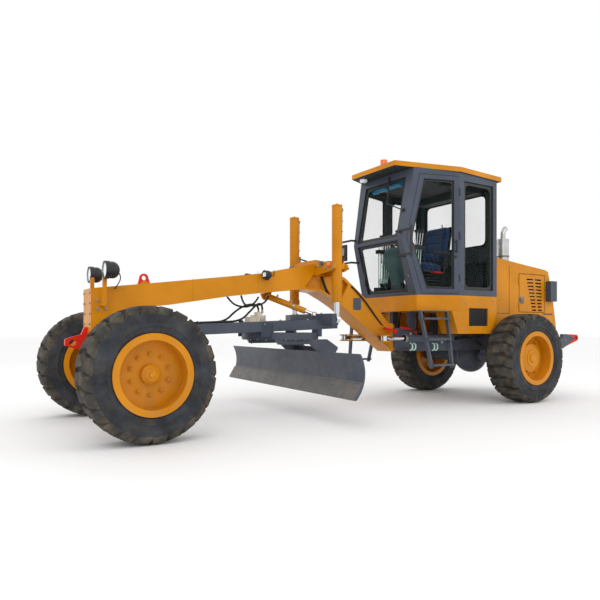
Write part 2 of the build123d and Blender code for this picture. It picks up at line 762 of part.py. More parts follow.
# The lug's top edge moves back by this much as it swings past the height of the ball
EAR_SWAY = sqrt((BALL_X - LIFT_X) ** 2 + (CROSS_TOP_Z - BALL_Z) ** 2) - (BALL_X - LIFT_X)
EAR_X = LIFT_X + LIFT_ROD_R + EAR_SWAY + GAP
CROSS_FRONT_X = EAR_X + 55
with BuildPart() as drawbar:
    with BuildSketch(side_plane(0)):
        with BuildLine():
            Polyline(
                (DRAWBAR_FRONT_X, BAR_TOP_FRONT),
                (DRAWBAR_REAR_X, DRAWBAR_REAR_TOP),
                (DRAWBAR_REAR_X, DRAWBAR_REAR_TOP - DRAWBAR_H),
                (DRAWBAR_FRONT_X, BAR_TOP_FRONT - DRAWBAR_H),
                close=True,
            )
        make_face()
    extrude(amount=DRAWBAR_HALF_W, both=True)
    with BuildSketch(Plane.XY.offset(BALL_Z - 200)):
        with BuildLine():
            Polyline(
                (DRAWBAR_FRONT_X, 50),
                (DRAWBAR_KNEE_X, DRAWBAR_HALF_W),
                (DRAWBAR_REAR_X, DRAWBAR_HALF_W),
                (DRAWBAR_REAR_X, -DRAWBAR_HALF_W),
                (DRAWBAR_KNEE_X, -DRAWBAR_HALF_W),
                (DRAWBAR_FRONT_X, -50),
                close=True,
            )
        make_face()
        with BuildLine():
            Polyline(
                (DRAWBAR_FRONT_X - 475, 0),
                (CIRCLE_X + CIRCLE_R + 30, 150),
                (CIRCLE_X + CIRCLE_R + 30, -150),
                close=True,
            )
        make_face(mode=Mode.SUBTRACT)
        with BuildLine():
            Polyline(
                (CIRCLE_X + CIRCLE_R - 130, 185),
                (DRAWBAR_KNEE_X, DRAWBAR_HALF_W - DRAWBAR_BEAM_W),
                (CROSS_X + 20, DRAWBAR_HALF_W - DRAWBAR_BEAM_W),
                (CROSS_X + 20, -DRAWBAR_HALF_W + DRAWBAR_BEAM_W),
                (DRAWBAR_KNEE_X, -DRAWBAR_HALF_W + DRAWBAR_BEAM_W),
                (CIRCLE_X + CIRCLE_R - 130, -185),
                close=True,
            )
        make_face(mode=Mode.SUBTRACT)
    extrude(amount=500, mode=Mode.INTERSECT)
    # Ball and its neck
    with Locations((BALL_X, 0, BALL_Z)):
        Sphere(BALL_R)
    with BuildSketch(across(DRAWBAR_FRONT_X)):
        with Locations((0, BALL_Z + 15)):
            Rectangle(60, 60)
    extrude(amount=BALL_X - DRAWBAR_FRONT_X)
    # Cross beam with a lug ahead of each lift rod
    with BuildSketch(across(DRAWBAR_REAR_X)):
        with Locations((0, CROSS_LOW_Z)):
            Rectangle(2 * (LIFT_Y - 90), CROSS_TOP_Z - CROSS_LOW_Z, align=(Align.CENTER, Align.MIN))
    extrude(amount=CROSS_X - DRAWBAR_REAR_X)
    with BuildSketch(Plane.XY.offset(CROSS_LOW_Z)):
        with BuildLine():
            Polyline(
                (EAR_X, CROSS_BEAM_HALF_W),
                (EAR_X, -CROSS_BEAM_HALF_W),
                (CROSS_FRONT_X, -CROSS_BEAM_HALF_W),
                (CROSS_FRONT_X + 50, -DRAWBAR_HALF_W + 40),
                (CROSS_FRONT_X + 50, DRAWBAR_HALF_W - 40),
                (CROSS_FRONT_X, CROSS_BEAM_HALF_W),
                close=True,
            )
        make_face()
    extrude(amount=CROSS_TOP_Z - CROSS_LOW_Z)
    # Shoes that guide the circle
    for angle in (40, 140, 220, 320):
        shoe_plane = Plane(
            origin=(CIRCLE_X, 0, CIRCLE_LOW_Z + 30),
            x_dir=(cos(radians(angle)), sin(radians(angle)), 0),
            z_dir=(0, 0, 1),
        )
        with BuildSketch(shoe_plane):
            with Locations((CIRCLE_R + SEAT, 0)):
                Rectangle(SHOE_T, 110, align=(Align.MIN, Align.CENTER))
        extrude(amount=CIRCLE_TOP_Z - CIRCLE_LOW_Z + 60)
        with BuildSketch(shoe_plane.offset(CIRCLE_TOP_Z - CIRCLE_LOW_Z - 30 + SEAT)):
            with Locations((CIRCLE_R - 70, 0)):
                Rectangle(70 + SEAT + SHOE_T, 110, align=(Align.MIN, Align.CENTER))
        extrude(amount=90)
drawbar.part.label = "drawbar"
export_step(drawbar.part, "parts/drawbar.step")

# Turning drive of the circle, hung on the drawbar
PINION_R = 60.0
PINION_TEETH = 10
DRIVE_X = CIRCLE_X + CIRCLE_BORE_R - PINION_R - GAP
with BuildPart() as circle_drive:
    for low, top, radius in (
        (CIRCLE_LOW_Z + 10, CIRCLE_TOP_Z + 10, PINION_R),
        (CIRCLE_TOP_Z + 10, 1000.0, 50.0),
        (1000.0, 1130.0, 88.0),
        (1130.0, 1165.0, 45.0),
    ):
        with BuildSketch(Plane.XY.offset(low)):
            with Locations((DRIVE_X, 0)):
                Circle(radius)
        extrude(amount=top - low)
    with BuildSketch(Plane.XY.offset(CIRCLE_LOW_Z + 10)):
        with Locations((DRIVE_X, 0)):
            with PolarLocations(PINION_R - TOOTH_DEPTH / 2 + 2, PINION_TEETH):
                Trapezoid(0.62 * 2 * pi * PINION_R / PINION_TEETH, TOOTH_DEPTH + 4, 70, rotation=90)
    extrude(amount=CIRCLE_TOP_Z - CIRCLE_LOW_Z - 10, mode=Mode.SUBTRACT)
    with BuildSketch(Plane.XY.offset(1030)):
        with Locations((DRIVE_X, 0)):
            Rectangle(140, 120, align=(Align.MIN, Align.CENTER))
    extrude(amount=80)
    add(drawbar.part, mode=Mode.SUBTRACT)
circle_drive.part.label = "circle_drive"
export_step(circle_drive.part, "parts/circle_drive.step")

# Circle, arms and blade stand in a frame that is turned with the blade
TURN = Plane(
    origin=(CIRCLE_X, 0, 0),
    x_dir=(cos(radians(BLADE_YAW)), sin(radians(BLADE_YAW)), 0),
    z_dir=(0, 0, 1),
)


def turned_side(offset):
    """A plane across the blade's length: its x is forward and its y is up."""
    return Plane(origin=TURN.from_local_coords((0, offset, 0)), x_dir=TURN.x_dir, z_dir=-TURN.y_dir)


tooth_pitch = 2 * pi * CIRCLE_BORE_R / CIRCLE_TEETH
with BuildPart() as circle:
    with BuildSketch(TURN.offset(CIRCLE_LOW_Z)):
        Circle(CIRCLE_R)
        Circle(CIRCLE_BORE_R, mode=Mode.SUBTRACT)
        with PolarLocations(CIRCLE_BORE_R + TOOTH_DEPTH / 2 - 2, CIRCLE_TEETH):
            Trapezoid(0.62 * tooth_pitch, TOOTH_DEPTH + 4, 70, rotation=-90, mode=Mode.SUBTRACT)
    extrude(amount=CIRCLE_TOP_Z - CIRCLE_LOW_Z)
    for sign in (1, -1):
        with BuildSketch(turned_side(sign * ARM_Y)):
            with BuildLine():
                Polyline(
                    (250, CIRCLE_LOW_Z),
                    (220, ARM_LOW_Z),
                    (TILT_A + 20, ARM_LOW_Z),
                    (TILT_A - 95, ARM_LOW_Z - 100),
                    (TILT_A - 95, TILT_Z + 90),
                    (TILT_A - 30, TILT_Z + TILT_BOSS_R + 8),
                    (TILT_A, TILT_Z + TILT_BOSS_R - 2),
                    (TILT_A, TILT_Z - TILT_BOSS_R + 2),
                    (TILT_A - 135, TILT_Z + 10),
                    (TILT_A - 340, ARM_LOW_Z - 60),
                    (TILT_A - 340, ARM_LOW_Z - 35),
                    (TILT_A - 195, CIRCLE_LOW_Z),
                    close=True,
                )
            make_face()
            with Locations((TILT_A, TILT_Z)):
                Circle(TILT_BOSS_R)
                Circle(TILT_PIN_R + FIT, mode=Mode.SUBTRACT)
        extrude(amount=ARM_T / 2, both=True)
    # The arms are tied behind the blade
    with BuildSketch(turned_side(-ARM_Y + ARM_T / 2)):
        with Locations((TILT_A - 235, ARM_LOW_Z - 80)):
            Rectangle(ARM_TIE_W, ARM_TIE_H)
    extrude(amount=-2 * ARM_Y + ARM_T)
circle.part.label = "circle"
export_step(circle.part, "parts/circle.step")

# Blade section: a hollow face and an even back
chord_a = BLADE_TOP_A - BLADE_EDGE_A
chord_z = BLADE_TOP_Z - BLADE_EDGE_Z
chord = sqrt(chord_a**2 + chord_z**2)
back_a = -chord_z / chord
back_z = chord_a / chord
mid_a = (BLADE_EDGE_A + BLADE_TOP_A) / 2 + back_a * BLADE_HOLLOW
mid_z = (BLADE_EDGE_Z + BLADE_TOP_Z) / 2 + back_z * BLADE_HOLLOW
BACK_A = mid_a + back_a * BLADE_T
BLADE_REST = -(BACK_A + BLADE_EDGE_A) / 2 * tan(radians(BLADE_YAW))
blade_start = BLADE_REST - BLADE_LENGTH / 2
RAIL_BACK_A = BACK_A - RAIL_A
with BuildPart() as moldboard:
    with BuildSketch(turned_side(blade_start)):
        with BuildLine():
            face_arc = ThreePointArc((BLADE_EDGE_A, BLADE_EDGE_Z), (mid_a, mid_z), (BLADE_TOP_A, BLADE_TOP_Z))
            back_arc = ThreePointArc(
                (BLADE_TOP_A + back_a * BLADE_T, BLADE_TOP_Z),
                (mid_a + back_a * BLADE_T, mid_z + back_z * BLADE_T),
                (BLADE_EDGE_A + back_a * BLADE_T, BLADE_EDGE_Z),
            )
            Line(face_arc @ 1, back_arc @ 0)
            Line(back_arc @ 1, face_arc @ 0)
        make_face()
    extrude(amount=-BLADE_LENGTH)
    # Cutting edge, a flat plate on the foot of the hollow face
    edge_foot = face_arc @ 0
    edge_head = face_arc @ EDGE_PLATE_SHARE
    edge_way = (edge_head - edge_foot).normalized()
    proud = Vector(edge_way.Y, -edge_way.X) * EDGE_PLATE_T
    sunk = proud * 0.6
    with BuildSketch(turned_side(blade_start)):
        with BuildLine():
            Polyline(
                edge_foot - sunk + (0, 8),
                edge_foot + proud,
                edge_head + proud,
                edge_head - sunk,
                face_arc @ (EDGE_PLATE_SHARE / 2) - sunk,
                close=True,
            )
        make_face()
    extrude(amount=-BLADE_LENGTH)
    for rail_z in (RAIL_LOW_Z, RAIL_HIGH_Z):
        with BuildSketch(turned_side(BLADE_REST - RAIL_LENGTH / 2)):
            with Locations((RAIL_BACK_A, rail_z)):
                Rectangle(RAIL_A + 12, RAIL_H, align=(Align.MIN, Align.CENTER))
        extrude(amount=-RAIL_LENGTH)
# Carriers: they tilt on the arms and hold the blade's rails
CYL_A = RAIL_BACK_A - 26
CYL_Z = (RAIL_LOW_Z + RAIL_HIGH_Z) / 2
CYL_R = 30.0
CYL_LOW = -600.0
CYL_HIGH = 520.0
PLATE_Y = ARM_Y + ARM_T / 2 + SEAT
with BuildPart() as blade_carrier:
    for sign in (1, -1):
        with BuildSketch(turned_side(sign * PLATE_Y)):
            with BuildLine():
                Polyline(
                    (RAIL_BACK_A + 10, RAIL_LOW_Z - 70),
                    (RAIL_BACK_A + 10, RAIL_HIGH_Z + 50),
                    (TILT_A - 10, RAIL_HIGH_Z + 50),
                    (TILT_A - 60, TILT_Z + 40),
                    (TILT_A - 50, TILT_Z - 50),
                    close=True,
                )
            make_face()
            for rail_z in (RAIL_LOW_Z, RAIL_HIGH_Z):
                with Locations((RAIL_BACK_A - SEAT, rail_z)):
                    Rectangle(60, RAIL_H + 2 * SEAT, align=(Align.MIN, Align.CENTER), mode=Mode.SUBTRACT)
        extrude(amount=-sign * CARRIER_T)
        with BuildSketch(turned_side(sign * (ARM_Y - ARM_T / 2))):
            with Locations((TILT_A, TILT_Z)):
                Circle(TILT_PIN_R)
        extrude(amount=-sign * (ARM_T + SEAT))
    # Cylinder that slides the blade, through both carriers
    with BuildSketch(turned_side(CYL_LOW)):
        with Locations((CYL_A, CYL_Z)):
            Circle(CYL_R)
    extrude(amount=-(CYL_HIGH - CYL_LOW))
    with BuildSketch(turned_side(CYL_LOW + 20)):
        with Locations((CYL_A, CYL_Z)):
            Circle(SHIFT_ROD_R + FIT)
    extrude(amount=-(CYL_HIGH - CYL_LOW), mode=Mode.SUBTRACT)
blade_carrier.part.label = "blade_carrier"
export_step(blade_carrier.part, "parts/blade_carrier.step")

ROD_LUG = CYL_HIGH + BLADE_SHIFT + 40
with BuildPart() as blade:
    add(moldboard.part)
    with BuildSketch(turned_side(ROD_LUG - SHIFT_ROD_L)):
        with Locations((CYL_A, CYL_Z)):
            Circle(SHIFT_ROD_R)
    extrude(amount=-SHIFT_ROD_L)
    with BuildSketch(turned_side(ROD_LUG - 12)):
        with BuildLine():
            Polyline(
                (CYL_A - 30, CYL_Z - 30),
                (CYL_A - 30, CYL_Z + 30),
                (mid_a, CYL_Z + 60),
                (mid_a, CYL_Z - 60),
                close=True,
            )
        make_face()
    extrude(amount=-24)
blade.part.label = "blade"
export_step(blade.part, "parts/blade.step")

# Side cylinder of the drawbar
side_way = SIDE_END - SIDE_FOOT
side_length = side_way.length
side_axis = side_way.normalized()
foot_plane = Plane(origin=SIDE_FOOT, z_dir=side_axis)
SIDE_BARREL_L = side_length - 110
with BuildPart() as side_barrel:
    with BuildSketch(foot_plane.offset(20)):
        Circle(SIDE_BARREL_R)
    extrude(amount=SIDE_BARREL_L - 20)
    with Locations(SIDE_FOOT):
        Sphere(SIDE_BARREL_R)
    with BuildSketch(foot_plane.offset(60)):
        Circle(SIDE_ROD_R + FIT)
    extrude(amount=SIDE_BARREL_L, mode=Mode.SUBTRACT)
side_barrel.part.label = "side_cylinder"
export_step(side_barrel.part, "parts/side_cylinder.step")

with BuildPart() as side_rod:
    with BuildSketch(foot_plane.offset(160)):
        Circle(SIDE_ROD_R)
    extrude(amount=side_length - 160)
    with Locations(SIDE_END):
        Sphere(SIDE_BALL_R)
side_rod.part.label = "side_rod"
export_step(side_rod.part, "parts/side_rod.step")

# Articulation cylinders
for side, sign in SIDES:
    with BuildPart() as art_barrel:
        with BuildSketch(across(ART_PIN_X + ART_NECK)):
            with Locations((sign * ART_Y, ART_Z)):
                Circle(ART_BARREL_R)
        extrude(amount=ART_BARREL_END_X - ART_PIN_X - ART_NECK)
        with BuildSketch(across(ART_PIN_X + ART_NECK + 20)):
            with Locations((sign * ART_Y, ART_Z)):
                Circle(ART_ROD_R + FIT)
        extrude(amount=ART_BARREL_END_X - ART_PIN_X, mode=Mode.SUBTRACT)
        with BuildSketch(Plane.XY.offset(ART_Z - ART_EYE_H / 2)):
            with Locations((ART_PIN_X, sign * ART_Y)):
                Circle(ART_EYE_R)
            with Locations((ART_PIN_X, sign * ART_Y)):
                Rectangle(ART_NECK + 10, ART_NECK_W, align=(Align.MIN, Align.CENTER))
            with Locations((ART_PIN_X, sign * ART_Y)):
                Circle(ART_PLAY_PIN_R + FIT, mode=Mode.SUBTRACT)
        extrude(amount=ART_EYE_H)
    art_barrel.part.label = f"articulation_cylinder_{side}"
    export_step(art_barrel.part, f"parts/articulation_cylinder_{side}.step")

    with BuildPart() as art_rod:
        with BuildSketch(across(ART_BARREL_END_X - 260)):
            with Locations((sign * ART_Y, ART_Z)):
                Circle(ART_ROD_R)
        extrude(amount=ART_EYE_X - ART_BARREL_END_X + 260 - ART_EYE_R + 10)
        with BuildSketch(Plane.XY.offset(ART_Z - ART_EYE_H / 2)):
            with Locations((ART_EYE_X, sign * ART_Y)):
                Circle(ART_EYE_R)
                Circle(ART_PLAY_PIN_R + FIT, mode=Mode.SUBTRACT)
        extrude(amount=ART_EYE_H)
    art_rod.part.label = f"articulation_rod_{side}"
    export_step(art_rod.part, f"parts/articulation_rod_{side}.step")

# Rear frame: a head round the pivot pin, two rails, cross members and cab mounts
HEAD_LOW = PIVOT_LOW_Z + PIVOT_LUG_T + SEAT
HEAD_TOP = PIVOT_TOP_Z - PIVOT_LUG_T - SEAT
with BuildPart() as rear_frame:
    with BuildSketch(Plane.XY.offset(RAIL_LOW)):
        with BuildLine():
            Polyline(
                (NECK_X, NECK_HALF_W),
                (RAIL_WIDE_X, RAIL_OUT_Y),
                (RAIL_END_X, RAIL_OUT_Y),
                (RAIL_END_X, -RAIL_OUT_Y),
                (RAIL_WIDE_X, -RAIL_OUT_Y),
                (NECK_X, -NECK_HALF_W),
                close=True,
            )
        make_face()
        with BuildLine():
            Polyline(
                (CROTCH_X, CROTCH_HALF_W),
                (RAIL_WIDE_X, RAIL_IN_Y),
                (RAIL_END_X + END_PLATE_T, RAIL_IN_Y),
                (RAIL_END_X + END_PLATE_T, -RAIL_IN_Y),
                (RAIL_WIDE_X, -RAIL_IN_Y),
                (CROTCH_X, -CROTCH_HALF_W),
                close=True,
            )
        make_face(mode=Mode.SUBTRACT)
    extrude(amount=RAIL_TOP - RAIL_LOW)
    with BuildSketch(Plane.XY.offset(HEAD_LOW)):
        with Locations((PIVOT_X, 0)):
            Circle(HEAD_R)
        with BuildLine():
            Polyline(
                (PIVOT_X, HEAD_R - 2),
                (NECK_X, NECK_HALF_W),
                (CROTCH_X, NECK_HALF_W),
                (CROTCH_X, -NECK_HALF_W),
                (NECK_X, -NECK_HALF_W),
                (PIVOT_X, -HEAD_R + 2),
                close=True,
            )
        make_face()
        with Locations((PIVOT_X, 0)):
            Circle(PIVOT_PIN_R + FIT, mode=Mode.SUBTRACT)
    extrude(amount=HEAD_TOP - HEAD_LOW)
    # Cab mounts
    for mount_x in CAB_MOUNT_XS:
        for sign in (1, -1):
            neck_mount = mount_x > RAIL_WIDE_X
            half = NECK_HALF_W - CAB_MOUNT_W / 2 if neck_mount else (RAIL_IN_Y + RAIL_OUT_Y) / 2
            with BuildSketch(Plane.XY.offset(RAIL_TOP)):
                with Locations((mount_x, sign * half)):
                    Rectangle(CAB_MOUNT_L, CAB_MOUNT_W)
            extrude(amount=BASE_LOW_Z - RAIL_TOP)
    # Outriggers under the hood
    for bar_x in OUTRIGGER_XS:
        with BuildSketch(Plane.XY.offset(RAIL_TOP)):
            with Locations((bar_x, 0)):
                Rectangle(OUTRIGGER_L, 2 * (HOOD_HALF_W - HOOD_WALL / 2))
        extrude(amount=HOOD_LOW_Z - RAIL_TOP)
    # Ears of the articulation cylinders
    for sign in (1, -1):
        for low in (ART_Z + ART_EYE_H / 2 + SEAT, ART_Z - ART_EYE_H / 2 - SEAT - ART_EAR_T):
            with BuildSketch(Plane.XY.offset(low)):
                with BuildLine():
                    Polyline(
                        (ART_PIN_X + 60, sign * (ART_Y - 70)),
                        (ART_PIN_X + 60, sign * (ART_Y + 20)),
                        (ART_PIN_X + 20, sign * (ART_Y + 60)),
                        (ART_PIN_X - 60, sign * (ART_Y + 60)),
                        (ART_PIN_X - 200, sign * (ART_Y - 70)),
                        close=True,
                    )
                make_face()
            extrude(amount=ART_EAR_T)
        with BuildSketch(Plane.XY.offset(ART_Z - ART_EYE_H / 2 - SEAT - ART_EAR_T)):
            with Locations((ART_PIN_X, sign * ART_Y)):
                Circle(ART_PLAY_PIN_R)
        extrude(amount=ART_EYE_H + 2 * SEAT + 2 * ART_EAR_T)
        with BuildSketch(Plane.XY.offset(RAIL_TOP)):
            with Locations((ART_PIN_X - 130, sign * (RAIL_OUT_Y - 15))):
                Rectangle(140, 30)
        extrude(amount=ART_Z + ART_EYE_H / 2 + SEAT + ART_EAR_T - RAIL_TOP)
    # Rear cross plate that carries the tow lugs
    with BuildSketch(Plane.XY.offset(RAIL_LOW)):
        with Locations((RAIL_END_X - END_PLATE_T / 2, 0)):
            Rectangle(END_PLATE_T, 2 * BUMPER_HALF_W)
    extrude(amount=RAIL_TOP - RAIL_LOW)
rear_frame.part.label = "rear_frame"
export_step(rear_frame.part, "parts/rear_frame.step")

# Tow lugs behind the rear plate
with BuildPart() as tow_lugs:
    for sign in (1, -1):
        with BuildSketch(side_plane(sign * LUG_Y)):
            with BuildLine():
                lug_back = RAIL_END_X - END_PLATE_T
                Polyline(
                    (lug_back, RAIL_LOW),
                    (lug_back, LUG_TOP_Z),
                    (LUG_ROOT_X, LUG_TOP_Z),
                    (TAIL_X + LUG_TIP_R, LUG_TOP_Z - 10),
                )
                ThreePointArc(
                    (TAIL_X + LUG_TIP_R, LUG_TOP_Z - 10),
                    (TAIL_X, LUG_TOP_Z - 10 - LUG_TIP_R),
                    (TAIL_X + LUG_TIP_R, LUG_TOP_Z - 10 - 2 * LUG_TIP_R),
                )
                Polyline(
                    (TAIL_X + LUG_TIP_R, LUG_TOP_Z - 10 - 2 * LUG_TIP_R),
                    (LUG_ROOT_X, LUG_LOW_Z),
                    (lug_back, RAIL_LOW),
                )
            make_face()
            with Locations((TAIL_X + LUG_TIP_R + 6, LUG_TOP_Z - 10 - LUG_TIP_R)):
                Circle(LUG_HOLE_R, mode=Mode.SUBTRACT)
        extrude(amount=LUG_T / 2, both=True)
tow_lugs.part.label = "tow_lugs"
export_step(tow_lugs.part, "parts/tow_lugs.step")

# Rear axle housing
with BuildPart() as rear_axle:
    hub_face = REAR_TRACK / 2 - HUB_BACK - SEAT
    with BuildSketch(side_plane(-hub_face)):
        with Locations((REAR_AXLE_X, TYRE_R)):
            Circle(AXLE_TUBE_R)
    extrude(amount=-2 * hub_face)
    axle_plane = Plane(origin=(REAR_AXLE_X, 0, TYRE_R), x_dir=(1, 0, 0), z_dir=(0, 0, 1))
    with BuildSketch(axle_plane):
        with BuildLine():
            Polyline((0, -DIFF_HALF_W), (120, -DIFF_HALF_W))
            ThreePointArc((120, -DIFF_HALF_W), (DIFF_R, 0), (120, DIFF_HALF_W))
            Polyline((120, DIFF_HALF_W), (0, DIFF_HALF_W), (0, -DIFF_HALF_W))
        make_face()
    revolve(axis=Axis((REAR_AXLE_X, 0, TYRE_R), (0, 1, 0)))
    for sign in (1, -1):
        with BuildSketch(Plane.XY.offset(TYRE_R)):
            with Locations((REAR_AXLE_X, sign * (RAIL_IN_Y + RAIL_OUT_Y) / 2)):
                Rectangle(170, RAIL_OUT_Y - RAIL_IN_Y)
        extrude(amount=RAIL_LOW - TYRE_R)
        with BuildSketch(side_plane(sign * hub_face)):
            with Locations((REAR_AXLE_X, TYRE_R)):
                Circle(SPINDLE_R)
        extrude(amount=-sign * (HUB_BACK + DISC_OUT - 10))
rear_axle.part.label = "rear_axle"
export_step(rear_axle.part, "parts/rear_axle.step")

# Engine, one plain block on the rails
with BuildPart() as engine:
    with BuildSketch(Plane.XY.offset(RAIL_TOP)):
        with Locations((ENGINE_X, 0)):
            Rectangle(ENGINE_L, ENGINE_W)
    extrude(amount=ENGINE_H)
engine.part.label = "engine_block"
export_step(engine.part, "parts/engine_block.step")

# Hood, open below, with a door opening in each side
HOOD_SIDE = (  # x, z round the side outline
    (HOOD_FRONT_X, HOOD_LOW_Z),
    (HOOD_FRONT_X, 1970.0),
    (HOOD_FRONT_X - 216, 1952.0),
    (HOOD_REAR_X + 746, 1889.0),
    (HOOD_REAR_X + 277, 1842.0),
    (HOOD_REAR_X + 204, 1816.0),
    (HOOD_REAR_X + 81, 1389.0),
    (HOOD_REAR_X + 7, HOOD_LOW_Z + 80),
    (HOOD_REAR_X, HOOD_LOW_Z),
)
GRILLE_LOW_Z = HOOD_SIDE[6][1] + 60
with BuildPart() as hood:
    with BuildSketch(side_plane(0)):
        with BuildLine():
            Polyline(*HOOD_SIDE, close=True)
        make_face()
    extrude(amount=HOOD_HALF_W, both=True)
    offset(
        amount=-HOOD_WALL,
        openings=hood.faces().sort_by(Axis.Z)[0],
    )
    with BuildSketch(side_plane(0)):
        with Locations((HOOD_DOOR_REAR_X - SEAT, HOOD_DOOR_LOW_Z - GAP)):
            Rectangle(
                HOOD_DOOR_FRONT_X - HOOD_DOOR_REAR_X + GAP + SEAT,
                HOOD_DOOR_TOP_Z - HOOD_DOOR_LOW_Z + 2 * GAP,
                align=(Align.MIN, Align.MIN),
            )
    extrude(amount=HOOD_HALF_W, both=True, mode=Mode.SUBTRACT)
    # Grille in the tail face
    with BuildSketch(across(HOOD_REAR_X)):
        for row in range(GRILLE_ROWS):
            for sign in (1, -1):
                with Locations((sign * (GRILLE_SLOT_W + 40) / 2, GRILLE_LOW_Z + row * GRILLE_PITCH)):
                    Rectangle(GRILLE_SLOT_W, GRILLE_SLOT_H)
    extrude(amount=HOOD_DOOR_REAR_X - HOOD_REAR_X, mode=Mode.SUBTRACT)
hood.part.label = "hood"
export_step(hood.part, "parts/hood.step")

for side, sign in SIDES:
    with BuildPart() as hood_door:
        with BuildSketch(side_plane(sign * HOOD_HALF_W)):
            with Locations(
                ((HOOD_DOOR_FRONT_X + HOOD_DOOR_REAR_X) / 2, (HOOD_DOOR_LOW_Z + HOOD_DOOR_TOP_Z) / 2)
            ):
                Rectangle(HOOD_DOOR_FRONT_X - HOOD_DOOR_REAR_X, HOOD_DOOR_TOP_Z - HOOD_DOOR_LOW_Z)
        extrude(amount=sign * HOOD_WALL)
        # Louvres in two columns that lean with the tail
        with BuildSketch(side_plane(sign * HOOD_HALF_W)):
            for row in range(LOUVRE_ROWS):
                slot_z = HOOD_DOOR_TOP_Z - 75 - row * LOUVRE_PITCH
                front_x = HOOD_DOOR_REAR_X + 420 - 14 * row
                rear_x = HOOD_DOOR_REAR_X + 80 - 2 * row
                slot_l = (front_x - rear_x - LOUVRE_GAP) / 2
                for slot_x in (front_x - slot_l / 2, rear_x + slot_l / 2):
                    with Locations((slot_x, slot_z)):
                        Rectangle(slot_l, LOUVRE_H)
        extrude(amount=sign * HOOD_WALL, mode=Mode.SUBTRACT)
    hood_door.part.label = f"hood_door_{side}"
    export_step(hood_door.part, f"parts/hood_door_{side}.step")

# Tail lamp boxes at the hood's rear corners
with BuildPart() as lamp_boxes:
    for sign in (1, -1):
        with BuildSketch(side_plane(sign * HOOD_HALF_W)):
            with Locations((HOOD_DOOR_REAR_X - 25, LAMP_BOX_Z)):
                RectangleRounded(LAMP_BOX_L, LAMP_BOX_H, 12, align=(Align.MAX, Align.CENTER))
        extrude(amount=-sign * LAMP_BOX_T)
lamp_boxes.part.label = "tail_lamp_boxes"
export_step(lamp_boxes.part, "parts/tail_lamp_boxes.step")

# Exhaust: a can on the hood and a curved tail pipe
hood_top = line_z(EXHAUST_X, HOOD_SIDE[2], HOOD_SIDE[3])
with BuildPart() as exhaust:
    with BuildSketch(Plane.XY.offset(hood_top - HOOD_WALL / 2)):
        with Locations((EXHAUST_X, EXHAUST_Y)):
            Circle(EXHAUST_R)
    extrude(amount=EXHAUST_TOP_Z - hood_top + HOOD_WALL / 2)
    tail_foot = (EXHAUST_X, EXHAUST_Y, EXHAUST_TOP_Z)
    with BuildLine() as tail_path:
        rise = Line(tail_foot, (EXHAUST_X, EXHAUST_Y, EXHAUST_TOP_Z + 70))
        bend = TangentArc(rise @ 1, (EXHAUST_X - 60, EXHAUST_Y, EXHAUST_TOP_Z + 165), tangent=rise % 1)
    with BuildSketch(Plane(origin=tail_foot, z_dir=(0, 0, 1))):
        Circle(TAIL_R)
        Circle(TAIL_R - 4, mode=Mode.SUBTRACT)
    sweep(path=tail_path.wire())
    add(hood.part, mode=Mode.SUBTRACT)
exhaust.part.label = "exhaust"
export_step(exhaust.part, "parts/exhaust.step")

# Cab: plan and side outlines, each drawn in from the outside by an inset
POST_SLOPE = (CAB_HALF_W - CAB_KNEE_HALF_W) / (CAB_KNEE_X - CAB_POST_X)
SIDE_ANGLE = degrees(atan2(CAB_HALF_W - CAB_KNEE_HALF_W, CAB_KNEE_X - CAB_POST_X))


def cab_block(inset):
    """The cab's closed body, with every wall moved in by the inset."""
    roof_front = (ROOF_FRONT_X, CAB_ROOF_FRONT_Z)
    roof_rear = (ROOF_REAR_X, CAB_ROOF_REAR_Z)
    slant = inset / cos(radians(SIDE_ANGLE))
    plan_front_x = CAB_KNEE_X + 100
    front_half = CAB_HALF_W - POST_SLOPE * (plan_front_x - CAB_POST_X) - slant
    post_shift = inset * tan(radians(SIDE_ANGLE / 2))
    with BuildPart() as block:
        with BuildSketch(side_plane(0)):
            with BuildLine():
                Polyline(
                    (CAB_SILL_X - inset, CAB_SILL_Z + inset),
                    (CAB_KNEE_X - inset, CAB_KNEE_Z),
                    (CAB_TOP_X - inset, line_z(CAB_TOP_X, roof_front, roof_rear) - inset),
                    (CAB_REAR_X + inset, line_z(CAB_REAR_X, roof_front, roof_rear) - inset),
                    (CAB_REAR_X + inset, CAB_SILL_Z + inset),
                    close=True,
                )
            make_face()
        extrude(amount=CAB_HALF_W, both=True)
        with BuildSketch(Plane.XY.offset(CAB_SILL_Z)):
            with BuildLine():
                Polyline(
                    (plan_front_x, front_half),
                    (CAB_POST_X + post_shift, CAB_HALF_W - inset),
                    (CAB_REAR_X + inset, CAB_HALF_W - inset),
                    (CAB_REAR_X + inset, -CAB_HALF_W + inset),
                    (CAB_POST_X + post_shift, -CAB_HALF_W + inset),
                    (plan_front_x, -front_half),
                    close=True,
                )
            make_face()
        extrude(amount=CAB_ROOF_FRONT_Z + 200 - CAB_SILL_Z, mode=Mode.INTERSECT)
    return block.part


def door_side(sign, inset):
    """Sketch plane of a door: its x is forward along the slanted wall and its y is up."""
    hinge_y = CAB_HALF_W - POST_SLOPE * (DOOR_REAR_X - CAB_POST_X)
    forward = Vector(cos(radians(SIDE_ANGLE)), -sign * sin(radians(SIDE_ANGLE)), 0)
    outward = Vector(sin(radians(SIDE_ANGLE)), sign * cos(radians(SIDE_ANGLE)), 0)
    origin = Vector(DOOR_REAR_X, sign * hinge_y, 0) - outward * inset
    return Plane(origin=origin, x_dir=forward, z_dir=-sign * outward)


def along_wall(x, grow):
    """Distance from the door's hinge edge, along the wall, of a place at x."""
    return (x - DOOR_REAR_X) / cos(radians(SIDE_ANGLE)) + grow


